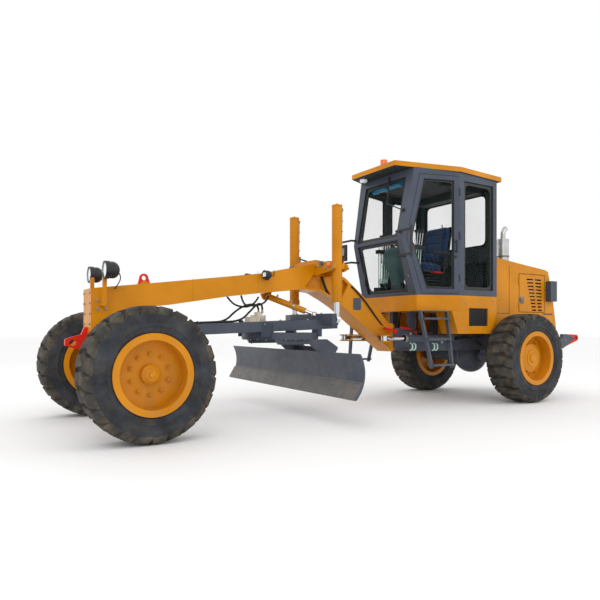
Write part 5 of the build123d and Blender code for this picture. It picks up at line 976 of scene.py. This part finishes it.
# Hoses and cables on both sides. Columns: name, radius, points on the left side
SIDE_LINES = (
    ("lift_hose", 0.0095,
     [(0.679, 0.450, 1.83), (0.640, 0.440, 1.74), (0.600, 0.330, 1.71), (0.560, 0.16, 1.735)]),
    ("lift_hose_low", 0.0095,
     [(0.679, 0.450, 1.875), (0.600, 0.430, 1.86), (0.560, 0.30, 1.80), (0.520, 0.12, 1.725)]),
    ("lamp_cable", 0.005,
     [(3.225, 0.300, 1.515), (3.190, 0.285, 1.47), (3.215, 0.250, 1.40), (3.225, 0.150, 1.36),
      (3.18, 0.12, 1.372)]),
    ("work_lamp_cable", 0.0045,
     [(1.495, 0.215, 1.570), (1.450, 0.205, 1.560), (1.42, 0.170, 1.60), (1.40, 0.13, 1.640)]),
)


def front_frame():
    """Lamps' lenses, bolts, plates, pipes on the cylinders, seams and hoses of the front frame."""
    lenses, rims = bmesh.new(), bmesh.new()
    radius = 0.073
    for sign in (1, -1):
        face = Vector((3.3500, sign * 0.300, 1.530))
        add_lathe(lenses, [(0.0004, 0.0075), (0.025, 0.0070), (0.050, 0.0050), (radius, 0.0),
                           (radius, -0.004), (0.0004, -0.004)], face, X, 48)
        add_lathe(rims, [(radius + 0.001, -0.002), (radius + 0.001, 0.008), (radius + 0.006, 0.0095),
                         (radius + 0.011, 0.006), (radius + 0.011, -0.002)], face, X, 48)
    settle("head_lamp_lenses", lenses, "front", "clear_lens")
    settle("head_lamp_rims", rims, "front", "chrome")
    glass_work, frames = bmesh.new(), bmesh.new()
    for sign in (1, -1):
        face = Vector((1.5745, sign * 0.215, 1.576))
        add_block(glass_work, face, (0.006, 0.066, 0.046))
        for row in range(3):
            for column in range(3):
                add_lathe(glass_work, [(0.0004, 0.004), (0.006, 0.003), (0.009, 0.0), (0.0004, -0.001)],
                          face + Vector((0.003, (column - 1) * 0.020, (row - 1) * 0.014)), X, 12)
        add_rod(frames, (1.545, sign * 0.165, 1.576), (1.50, sign * 0.150, 1.546), 0.010, 12)
        add_block(frames, (1.505, sign * 0.156, 1.546), (0.05, 0.012, 0.045))
    settle("work_lamp_lenses", glass_work, "front", "clear_lens", False)
    rounded(settle("work_lamp_feet", frames, "front", "black_plastic", False), 0.003)
    bolts = bmesh.new()
    plates = bmesh.new()
    for sign in (1, -1):
        spot, _ = land("gooseneck", (0.205, sign * 1.0, 1.283), -Y * sign)
        add_block(plates, spot, (0.124, 0.006, 0.150))
        for across in (-0.052, 0.052):
            for rise in (-0.065, 0.065):
                add_bolt(bolts, spot + Vector((across, sign * 0.003, rise)), Y * sign, 0.0045, 0.004)
        foot, _ = land("gooseneck", (3.345, sign * 1.0, 1.208), -Y * sign)
        for across in (-0.038, 0.038):
            for rise in (-0.040, 0.040):
                add_bolt(bolts, foot + Vector((across, sign * 0.020, rise)), Y * sign, 0.010, 0.009)
    settle("blank_plates", plates, "front", "slate_paint", False)
    # Bolts on the saddle's cross plates and trunnion caps
    for sign in (1, -1):
        for across in (0.385, 0.515):
            for rise in (1.668, 1.742):
                for facing, way in ((1.3, -1), (0.2, 1)):
                    try_bolt(bolts, "lift_saddle", (facing, sign * across, rise), (way, 0, 0), 0.011, 0.011)
        for across in (0.19, 0.27):
            try_bolt(bolts, "lift_saddle", (1.3, sign * across, 1.705), -X, 0.011, 0.011)
    for rise in (1.02, 1.12, 1.22, 1.32):
        for across in (-0.115, 0.115):
            try_bolt(bolts, "gooseneck", (4.0, across, rise), -X, 0.010, 0.009)
    settle("front_bolts", bolts, "front", "plated_steel")
    lamps = bmesh.new()
    for across in (0.448, -0.448):
        spot, _ = land("lift_saddle", (1.3, across, 1.705), -X)
        add_lathe(lamps, [(CORE, 0.030), (0.018, 0.026), (0.027, 0.010), (0.027, -0.004), (CORE, -0.004)],
                  spot, X, 28)
    settle("saddle_lamps", lamps, "front", "amber_lens")
    ports = bmesh.new()
    for sign in (1, -1):
        spot, _ = land("lift_saddle", (1.3, sign * 0.315, 1.735), -X)
        add_lathe(ports, [(CORE, 0.045), (0.020, 0.045), (0.022, 0.030), (0.016, 0.026), (0.016, 0.012),
                          (0.028, 0.010), (0.028, -0.004), (CORE, -0.004)], spot, X, 24)
        low = Vector((LIFT_X, sign * LIFT_Y, 1.282))
        add_lathe(ports, [(0.0605, 0.0), (0.064, 0.003), (0.064, 0.022), (0.0605, 0.026), (0.034, 0.026),
                          (0.034, 0.0)], low, Z, 40)
        block = Vector((LIFT_X - 0.066, sign * LIFT_Y, 1.86))
        add_block(ports, block, (0.040, 0.046, 0.085))
        add_rod(ports, block + Z * 0.05, (LIFT_X - 0.072, sign * LIFT_Y, 2.345), 0.0075, 12)
        add_block(ports, (LIFT_X - 0.064, sign * LIFT_Y, 2.350), (0.034, 0.034, 0.034))
        for rise in (1.98, 2.10, 2.22):
            add_block(ports, (LIFT_X - 0.066, sign * LIFT_Y, rise), (0.026, 0.028, 0.014))
    rounded(settle("lift_ports", ports, "front", "worn_steel"), 0.003)
    caps = bmesh.new()
    for sign in (1, -1):
        add_lathe(caps, [(CORE, 0.004), (0.050, 0.004), (0.0545, 0.001), (0.062, 0.0), (0.062, -0.016),
                         (CORE, -0.016)], (LIFT_X, sign * LIFT_Y, 2.397), Z, 40)
        add_rod(caps, (LIFT_X, sign * LIFT_Y, 2.395), (LIFT_X, sign * LIFT_Y, 2.418), 0.010, 12)
        # Weld beads on the arch
        for x, low, high, bead in ((1.043, 1.440, 1.655, 0.0035), (1.62, 1.392, 1.618, 0.0030),
                                   (2.40, 1.275, 1.500, 0.0030)):
            add_rod(caps, (x, sign * BEAM_SIDE, low), (x, sign * BEAM_SIDE, high), bead, 8)
    settle("front_seams", caps, "front", "body_paint")
    for side, sign in SIDES:
        for name, radius, points in SIDE_LINES:
            pipe(f"{name}_{side}", [(x, sign * y, z) for x, y, z in points], radius, "front", "hose_rubber")
    for name, radius, points in (
        ("beam_hose_a", 0.0105, [(1.807, 0.100, 1.345), (1.782, 0.100, 1.249), (1.707, 0.100, 1.232),
                                 (1.591, 0.104, 1.236), (1.480, 0.090, 1.280), (1.440, 0.070, 1.345)]),
        ("beam_hose_b", 0.0105, [(1.900, -0.060, 1.335), (1.840, -0.060, 1.262), (1.740, -0.058, 1.225),
                                 (1.620, -0.060, 1.225), (1.520, -0.070, 1.290), (1.490, -0.070, 1.345)]),
        ("arch_hose_a", 0.016, [(0.705, 0.095, 1.60), (0.700, 0.13, 1.52), (0.670, 0.135, 1.44),
                                (0.615, 0.125, 1.385)]),
        ("heel_hose_a", 0.011, [(0.30, 0.155, 1.50), (0.12, 0.165, 1.36), (-0.06, 0.160, 1.16),
                                (-0.20, 0.150, 1.02), (-0.30, 0.120, 0.96)]),
        ("heel_hose_b", 0.011, [(0.28, -0.155, 1.50), (0.10, -0.168, 1.35), (-0.07, -0.160, 1.15),
                                (-0.22, -0.150, 1.02), (-0.31, -0.120, 0.96)]),
    ):
        pipe(name, points, radius, "front", "hose_rubber")


def try_bolt(shape, node, origin, way, radius, height):
    """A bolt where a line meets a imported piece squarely, facing back along the line."""
    spot, normal = land(node, origin, way, False)
    if spot is not None and abs(normal.dot(Vector(way))) > 0.97:
        add_bolt(shape, spot, -Vector(way), radius, height)


def grid(firsts, seconds):
    """Every first value with every second one."""
    return [(first, second) for first in firsts for second in seconds]


def side_bolts(shape, node, spots, sign, radius, height):
    """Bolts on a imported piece's side. A spot is its place along and its height."""
    for x, z in spots:
        try_bolt(shape, node, (x, sign * 1.2, z), -Y * sign, radius, height)


def axle_and_knuckles():
    """Bolts and hoses on the front axle, caps and grease points on the kingpins."""
    for side, sign in SIDES:
        caps = bmesh.new()
        _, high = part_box(f"steering_knuckle_{side}")
        top, _ = land(f"steering_knuckle_{side}", (3.160, sign * 0.700, high.z + 0.2), -Z)
        add_lathe(caps, cap(0.012, 0.008, -0.004, 0.030, 0.034), top, Z, 28)
        add_rod(caps, top, top + Z * 0.026, 0.006, 8)
        for turn in range(4):
            angle = radians(45 + 90 * turn)
            add_bolt(caps, top + Vector((cos(angle) * 0.024, sin(angle) * 0.024, 0.010)), Z, 0.005, 0.005)
        settle(f"kingpin_cap_{side}", caps, f"knuckle_{side}", "slate_paint")
    bolts = bmesh.new()
    for across in (-0.48, -0.30, 0.30, 0.48):
        for way in (-1, 1):
            try_bolt(bolts, "front_axle", (3.160 - way * 0.4, across, 0.585), (way, 0, 0), 0.011, 0.010)
    settle("axle_bolts", bolts, "front", "plated_steel")
    fittings = bmesh.new()
    low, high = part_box("steering_cylinder")
    middle = (low + high) / 2
    for side, sign in reversed(SIDES):
        across = sign * 0.20
        top, _ = land("steering_cylinder", (middle.x, across, high.z + 0.3), -Z)
        fitting(fittings, top, Z, ((-0.008, 0.026, 0.011, 6), (0.026, 0.038, 0.008, 12)))
        line = [Z * 0.036, Z * 0.09, Vector((0.03, -across * 0.30, 0.17)),
                Vector((0.05, -across * 0.45, 0.22))]
        pipe(f"steer_hose_{side}", [top + step for step in line], 0.009, "front", "hose_rubber")
    for across in (-0.262, 0.262):
        add_lathe(fittings, [(0.020, -0.012), (0.0405, -0.012), (0.042, -0.008), (0.042, 0.008),
                             (0.0405, 0.012), (0.020, 0.012)], (middle.x, across, low.z + 0.038), Y, 32)
    settle("steer_fittings", fittings, "front", "plated_steel")


CIRCLE_X = 1.240
RING_BOLTS = 24
EDGE_BOLTS = 16


def bar_leg(x):
    """How far the drawbar's leg stands from the middle at one place along it."""
    return (3.235 - x) / 2.079 * 0.295


def drawbar_and_blade():
    """Hoses, clamps and fittings on the drawbar, bolts on its shoes, ring and arms, nuts on the edge."""
    bolts = bmesh.new()
    for turn in range(4):
        angle = radians(45 + 90 * turn)
        try_bolt(bolts, "drawbar", (3.228, cos(angle) * 0.045, 0.905 + sin(angle) * 0.045), (1, 0, 0),
                 0.007, 0.007)
    for x in (1.62, 1.05, 0.86):
        for across in (-0.30, -0.20, 0.20, 0.30):
            try_bolt(bolts, "drawbar", (x, across, 1.6), -Z, 0.011, 0.010)
    for across in (-0.46, -0.40, 0.40, 0.46):
        for x in (0.69, 0.75, 0.79):
            try_bolt(bolts, "drawbar", (x, across, 1.6), -Z, 0.009, 0.008)
    settle("drawbar_bolts", bolts, "drawbar", "plated_steel")
    ends = bmesh.new()
    for across in (-0.028, 0.028):
        for low, high, radius, sides in ((1.150, 1.182, 0.013, 6), (1.182, 1.200, 0.011, 12)):
            add_rod(ends, (1.505, across * 1.6, low), (1.505, across * 1.6, high), radius, sides)
    settle("motor_fittings", ends, "drawbar", "plated_steel")
    clamps = bmesh.new()
    for side, sign in SIDES:
        line = [(1.505, sign * 0.045, 1.190), (1.505, sign * 0.045, 1.250), (1.60, sign * 0.120, 1.262),
                (1.72, sign * 0.190, 1.190)]
        for x in (1.86, 2.10, 2.34, 2.58, 2.76):
            spot, _ = land("drawbar", (x, sign * bar_leg(x), 1.6), -Z)
            line.append((x, spot.y, spot.z + 0.014))
            if x in (1.86, 2.34, 2.58):
                add_block(clamps, spot + Z * 0.013, (0.030, 0.052, 0.026))
                add_bolt(clamps, spot + Z * 0.026, Z, 0.007, 0.007)
        pipe(f"drawbar_hose_{side}", line, 0.0115, "drawbar", "hose_rubber")
    rounded(settle("hose_clamps", clamps, "drawbar", "black_plastic", False), 0.003)
    ring = bmesh.new()
    for step in range(RING_BOLTS):
        angle = 2 * pi * (step + 0.5) / RING_BOLTS
        spot, normal = land("circle", (CIRCLE_X + cos(angle) * 0.428, sin(angle) * 0.428, 0.70), (0, 0, 1),
                            False)
        if spot is not None and normal.z < -0.9 and spot.z < 0.870:
            add_bolt(ring, spot, -Z, 0.008, 0.007)
    for sign in (1, -1):
        side_bolts(ring, "circle", ((1.02, 0.47), (1.07, 0.40), (1.12, 0.50)), sign, 0.011, 0.010)
    settle("circle_bolts", ring, "circle", "plated_steel")
    nuts = bmesh.new()
    yaw = Matrix.Rotation(radians(-4), 3, "Z")
    for step in range(EDGE_BOLTS):
        along = -1.44 + 2.88 * step / (EDGE_BOLTS - 1)
        for rise in (0.345, 0.405):
            origin = Vector((CIRCLE_X, 0, rise)) + yaw @ Vector((0.6, along, 0))
            way = yaw @ Vector((-1, 0, 0))
            spot, normal = land("blade", origin, way, False)
            if spot is not None:
                normal = normal if normal.dot(way) < 0 else -normal
                add_lathe(nuts, cap(0.0012, 0.0, -0.004, 0.010, 0.0125), spot, normal, 16)
                add_rod(nuts, spot, spot + normal * 0.0016, 0.0045, 4)
            spot, normal = land("blade", Vector((CIRCLE_X, 0, rise)) + yaw @ Vector((-0.6, along, 0)), -way,
                                False)
            if spot is not None and abs(spot.z - rise) < 0.01:
                normal = normal if normal.dot(way) > 0 else -normal
                add_rod(nuts, spot - normal * 0.004, spot + normal * 0.012, 0.013, 6)
    settle("edge_bolts", nuts, "blade", "worn_steel")


FRAME_CYLINDER_Y, FRAME_CYLINDER_Z = 0.400, 0.855


def cylinder_dress():
    """Glands, ports and hoses of the side and articulation cylinders."""
    for side, sign in SIDES:
        shape = bmesh.new()
        node = f"articulation_cylinder_{side}"
        y = sign * FRAME_CYLINDER_Y
        add_lathe(shape, [(0.026, 0.0), (0.048, 0.0), (0.050, 0.004), (0.050, 0.030), (0.046, 0.034),
                          (0.026, 0.034)], (-0.381, y, FRAME_CYLINDER_Z), X, 36)
        for x, way in ((-0.46, Z), (-1.02, -Z)):
            spot, _ = land(node, Vector((x, y, FRAME_CYLINDER_Z)) + way * 0.4, -way)
            fitting(shape, spot, way, ((-0.006, 0.020, 0.015, 6), (0.018, 0.030, 0.010, 12)))
        settle(f"frame_cylinder_ports_{side}", shape, node, "plated_steel")
        out = y + sign * 0.026
        line = [(-0.46, y, 0.925), (-0.46, y, 0.950), (-0.52, out, 0.950), (-0.66, out, 0.935),
                (-0.80, out, 0.905), (-0.86, y, 0.893)]
        pipe(f"frame_hose_front_{side}", line, 0.010, node, "hose_rubber")
    shape = bmesh.new()
    start, end = Vector((1.343, -0.100, 1.355)), Vector((0.960, 0.295, 1.140))
    along = (end - start).normalized()
    near = start + along * 0.330
    add_lathe(shape, [(0.021, 0.0), (0.038, 0.0), (0.040, 0.004), (0.040, 0.024), (0.037, 0.028),
                      (0.021, 0.028)], near - along * 0.010, along, 32)
    up = (Z - along * along.z).normalized()
    for far in (0.105, 0.290):
        spot = start + along * far + up * 0.033
        fitting(shape, spot, up, ((0.0, 0.022, 0.011, 6), (0.020, 0.032, 0.008, 12)))
    settle("side_cylinder_ports", shape, "side_cylinder", "plated_steel")


REAR_AXLE_X, HUB_Z = -2.050, 0.5875
HUB_BOLTS = 10


def rear_frame_dress():
    """Hoses, bent tubes, lock handle, bolts and hub bolts under the cab and round the rear axle."""
    red = bmesh.new()
    add_rod(red, (-0.194, 0.205, 0.983), (-0.382, 0.205, 0.945), 0.016, 16)
    add_lathe(red, [(CORE, -0.012), (0.028, -0.012), (0.030, 0.0), (0.028, 0.012), (CORE, 0.012)],
              (-0.382, 0.205, 0.945), Y, 24)
    settle("lock_handle", red, "front", "red_paint")
    link = bmesh.new()
    rail, _ = land("rear_frame", (-0.760, 0.6, 0.800), (0, -1, 0))
    beside = rail.y - 0.025
    add_rod(link, (-0.760, beside, 0.922), (-0.690, beside, 0.960), 0.016, 14)
    add_rod(link, (-0.690, beside, 0.960), (-0.480, beside, 0.995), 0.014, 14)
    add_rod(link, (-0.755, beside, 0.840), (-0.755, beside, 0.925), 0.009, 12)
    settle("safety_link", link, "rear", "red_paint")
    tubes = ((-0.505, 0.700, 0.792), (-0.560, 0.700, 0.792), (-0.900, 0.690, 0.787), (-0.955, 0.690, 0.787))
    for index, (x, low, high) in enumerate(tubes):
        points = [(x, 0.345, high), (x, 0.385, high - 0.01), (x, 0.388, (low + high) / 2),
                  (x, 0.385, low + 0.01), (x, 0.345, low)]
        pipe(f"bent_tube_{index}", points, 0.009, "rear", "pale_plastic")
    for index, points in enumerate((
        [(-0.82, beside - 0.01, 0.84), (-0.80, beside - 0.02, 0.95), (-0.80, 0.17, 1.07),
         (-0.82, 0.16, 1.21)],
        [(-0.90, beside - 0.01, 0.84), (-0.88, beside - 0.02, 0.95), (-0.89, 0.18, 1.07),
         (-0.92, 0.17, 1.21)],
        [(-0.82, 0.01 - beside, 0.84), (-0.80, 0.02 - beside, 0.95), (-0.80, -0.17, 1.07),
         (-0.82, -0.16, 1.21)],
        [(-1.20, 0.335, 0.80), (-1.30, 0.400, 0.84), (-1.55, 0.420, 0.86), (-1.80, 0.380, 0.80),
         (-1.95, 0.300, 0.70)],
        [(-1.20, -0.335, 0.80), (-1.35, -0.400, 0.84), (-1.60, -0.420, 0.86), (-1.82, -0.380, 0.80),
         (-1.95, -0.300, 0.70)],
    )):
        pipe(f"frame_hose_{index}", points, 0.012, "rear", "hose_rubber")
    bolts = bmesh.new()
    for x in (-2.60, -2.20, -1.50, -1.25, -1.0):
        for sign in (1, -1):
            try_bolt(bolts, "rear_frame", (x, sign * 1.2, 0.765), -Y * sign, 0.011, 0.010)
    for across in (-0.55, -0.45, -0.15, 0.15, 0.45, 0.55):
        try_bolt(bolts, "rear_frame", (-4.0, across, 0.765), (1, 0, 0), 0.012, 0.011)
    for turn in range(HUB_BOLTS):
        angle = 2 * pi * turn / HUB_BOLTS
        for way in (1, -1):
            try_bolt(bolts, "rear_axle", (REAR_AXLE_X + way * 0.5, 0, HUB_Z + sin(angle) * 0.20),
                     (-way, 0, 0), 0.010, 0.009)
    for sign in (1, -1):
        side_bolts(bolts, "tow_lugs", ((-3.42, 0.80), (-3.36, 0.80)), sign, 0.011, 0.010)
    settle("rear_bolts", bolts, "rear", "plated_steel")
    joint = bmesh.new()
    top, _ = land("gooseneck", (-0.425, 0.0, 1.4), -Z)
    add_lathe(joint, cap(0.014, 0.010, -0.002, 0.030, 0.034), (-0.440, 0, top.z), Z, 28)
    settle("pivot_cap", joint, "front", "slate_paint")


HOOD_SIDE = 0.5505
LOUVRES = 10


def hood_dress():
    """Seams, slats, grille mesh, latches, hinges, filler cap, exhaust bands and tail lamps."""
    for side, sign in SIDES:
        body = f"hood_door_{side}"
        low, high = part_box(body)
        slats = bmesh.new()
        for row in range(LOUVRES):
            z = 1.685 - row * 0.049
            front, rear = -2.590 - 0.014 * row, -2.930 - 0.002 * row
            length = (front - rear - 0.040) / 2
            for start in (rear, front - length):
                turn = Matrix.Rotation(radians(sign * 35), 3, "X")
                add_block(slats, (start + length / 2, sign * 0.534, z + 0.003),
                          (length - 0.002, 0.003, 0.026), turn)
        settle(f"louvre_slats_{side}", slats, body, "slat_paint", False)
        latch = bmesh.new()
        spot, _ = land(body, (-2.470, sign * 1.2, 1.384), -Y * sign)
        add_block(latch, spot, (0.106, 0.014, 0.096))
        add_block(latch, spot + Vector((0.016, sign * 0.010, 0)), (0.040, 0.014, 0.064))
        add_rod(latch, spot + Vector((0, sign * 0.005, -0.026)), spot + Vector((0, sign * 0.018, -0.026)),
                0.008, 16)
        rounded(settle(f"hood_latch_{side}", latch, body, "worn_steel", False), 0.004)
        seam = bmesh.new()
        places = ((low.x, low.z), (high.x, low.z), (high.x, high.z), (low.x, high.z))
        corners = [Vector((x, sign * HOOD_SIDE, z)) for x, z in places]
        for start, end in zip(corners, corners[1:] + corners[:1]):
            add_rod(seam, start, end, 0.0028, 8)
        settle(f"hood_seam_{side}", seam, "rear", "seal_rubber")
        hinge = bmesh.new()
        for z in (1.30, 1.66):
            add_rod(hinge, (high.x + 0.006, sign * 0.556, z - 0.05),
                    (high.x + 0.006, sign * 0.556, z + 0.05), 0.009, 14)
        settle(f"hood_hinges_{side}", hinge, "rear", "body_paint")
        lamp = bmesh.new()
        low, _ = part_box("tail_lamp_boxes")
        for rise, tall in ((1.600, 0.090), (1.500, 0.070)):
            add_block(lamp, (low.x + 0.002, sign * 0.5925, rise), (0.008, 0.060, tall))
        rounded(settle(f"tail_lamps_{side}", lamp, "rear", "red_lens", False), 0.004)
    back = bmesh.new()
    for column in range(33):
        y = -0.352 + column * 0.022
        add_rod(back, (-3.272, y, 1.395), (-3.235, y, 1.760), 0.0016, 6)
    for row in range(17):
        z = 1.40 + row * 0.022
        add_rod(back, (-3.272 + (z - 1.395) * 0.101, -0.36, z), (-3.272 + (z - 1.395) * 0.101, 0.36, z),
                0.0016, 6)
    settle("grille_mesh", back, "rear", "black_plastic")
    exhaust = bmesh.new()
    centre = Vector((-2.522, 0.200, 0))
    for z in (1.78, 2.03):
        add_lathe(exhaust, [(0.0855, 0.0), (0.0895, 0.002), (0.0895, 0.022), (0.0855, 0.024)],
                  centre + Z * z, Z, 44)
        add_block(exhaust, centre + Vector((0, 0.093, z + 0.012)), (0.022, 0.016, 0.018))
    settle("exhaust_bands", exhaust, "rear", "worn_steel")
    filler = bmesh.new()
    top, _ = land("hood", (-2.95, -0.28, 2.4), -Z)
    add_lathe(filler, [(CORE, 0.036), (0.048, 0.036), (0.052, 0.030), (0.052, 0.008), (0.060, 0.004),
                       (0.060, -0.006), (CORE, -0.006)], top, Z, 36)
    add_block(filler, top + Z * 0.040, (0.076, 0.016, 0.010))
    settle("filler_cap", filler, "rear", "black_plastic")
    strip = bmesh.new()
    for sign in (1, -1):
        spot, _ = land("hood", (-3.085, sign * 1.2, 1.190), -Y * sign)
        add_block(strip, spot, (0.230, 0.008, 0.020))
    settle("hood_strips", strip, "rear", "slate_paint", False)
    lines = bmesh.new()
    for sign in (1, -1):
        add_rod(lines, (-2.20, sign * HOOD_SIDE, 0.92), (-2.20, sign * HOOD_SIDE, 1.86), 0.0026, 8)
        add_rod(lines, (-1.760, sign * HOOD_SIDE, 1.190), (-2.19, sign * HOOD_SIDE, 1.190), 0.0026, 8)
    settle("hood_lines", lines, "rear", "seal_rubber")


VENT_SIDE = 0.690


def ladder_and_mirrors():
    """Grip teeth on the steps, the far hoop's mirror, the vents' mesh with a black sheet behind it as painted
    shade, bolts on ladders and cab base.
    """
    grips = bmesh.new()
    for sign in (1, -1):
        for height in (0.60, 0.82, 1.04):
            for step in range(15):
                x = -0.60 - 0.175 + 0.025 * step
                for origin_y in (0.70, 0.76, 0.80):
                    spot, normal = land("ladders", (x, sign * origin_y, height + 0.13), -Z, False)
                    if spot is not None and normal.z > 0.9 and spot.z > height - 0.13:
                        add_rod(grips, spot - Z * 0.001, spot + Z * 0.003, 0.0045, 8)
                        break
    settle("step_grips", grips, "rear", "worn_steel")
    # Mirror on the far hoop
    head = bmesh.new()
    add_block(head, (-0.205, -0.640, 2.030), (0.034, 0.130, 0.230))
    rounded(settle("mirror_shell", head, "rear", "black_plastic"), 0.014, 4)
    face = bmesh.new()
    add_block(face, (-0.2235, -0.640, 2.030), (0.003, 0.108, 0.206))
    rounded(settle("mirror_face", face, "rear", "mirror_glass", False), 0.001, 1)
    vents = bmesh.new()
    for sign in (1, -1):
        # Painted shade: a thin black sheet behind the mesh stands for the dark inside of the vent
        add_block(vents, (-1.380, sign * 0.6765, 1.126), (0.366, 0.003, 0.228))
        for step in range(17):
            x = -1.380 - 0.168 + 0.021 * step
            add_rod(vents, (x, sign * VENT_SIDE, 1.018), (x, sign * VENT_SIDE, 1.234), 0.0022, 6)
        for step in range(11):
            z = 1.021 + 0.021 * step
            add_rod(vents, (-1.558, sign * VENT_SIDE, z), (-1.202, sign * VENT_SIDE, z), 0.0022, 6)
    settle("vent_mesh_and_painted_shade", vents, "rear", "black_plastic")
    bolts = bmesh.new()
    for sign in (1, -1):
        side_bolts(bolts, "ladders", grid((-0.52, -0.68), (1.07, 1.13)), sign, 0.009, 0.008)
        side_bolts(bolts, "cab_base", grid((-0.55, -0.80, -1.05, -1.65), (1.350,)), sign, 0.008, 0.007)
        side_bolts(bolts, "cab_base", grid((-1.12, -1.64), (0.96, 1.30)), sign, 0.008, 0.007)
    settle("base_bolts", bolts, "rear", "plated_steel")


def add_studio():
    """Pale floor, pale surroundings and soft lights."""
    mesh = bpy.data.meshes.new("floor")
    shape = bmesh.new()
    bmesh.ops.create_grid(shape, x_segments=4, y_segments=4, size=60.0)
    shape.to_mesh(mesh)
    shape.free()
    made, tree, shader = material("floor_paint")
    feed(shader, "Base Color", mixed(tree, cloud(tree, 0.6, 3.0), tone(247, 247, 247), tone(251, 251, 251)))
    shader.inputs["Roughness"].default_value = 0.8
    mesh.materials.append(made)
    floor = put("floor", mesh)
    world = bpy.data.worlds.new("studio")
    bpy.context.scene.world = world
    world.use_nodes = True
    back = world.node_tree.nodes["Background"]
    back.inputs["Color"].default_value = (1.0, 1.0, 1.0, 1.0)
    back.inputs["Strength"].default_value = 1.0
    bpy.context.scene.view_settings.view_transform = "Standard"
    # Columns: place, size, power
    for place, size, power in (
        ((6.5, 7.5, 7.0), 5.0, 150.0),
        ((-5.0, 7.0, 6.5), 5.0, 80.0),
        ((1.0, -8.0, 7.0), 6.0, 60.0),
    ):
        data = bpy.data.lights.new("softbox", "AREA")
        data.size = size
        data.energy = power
        lamp = put("softbox", data)
        lamp.location = place
        lamp.rotation_mode = "QUATERNION"
        lamp.rotation_quaternion = (Vector((0, 0, 1)) - Vector(place)).to_track_quat("-Z", "Y")


add_camera()
add_studio()
dress_nodes()
for end, nut_circle, nut_size, ring_r, cap_r in WHEEL_NUTS:
    for side, sign in SIDES:
        tyre(end, side)
        wheel_fittings(end, side, sign, nut_circle, nut_size, ring_r, cap_r)
retouch_nodes()
cab_trim()
cab_inside()
operator_seat()
front_frame()
axle_and_knuckles()
drawbar_and_blade()
cylinder_dress()
rear_frame_dress()
hood_dress()
ladder_and_mirrors()
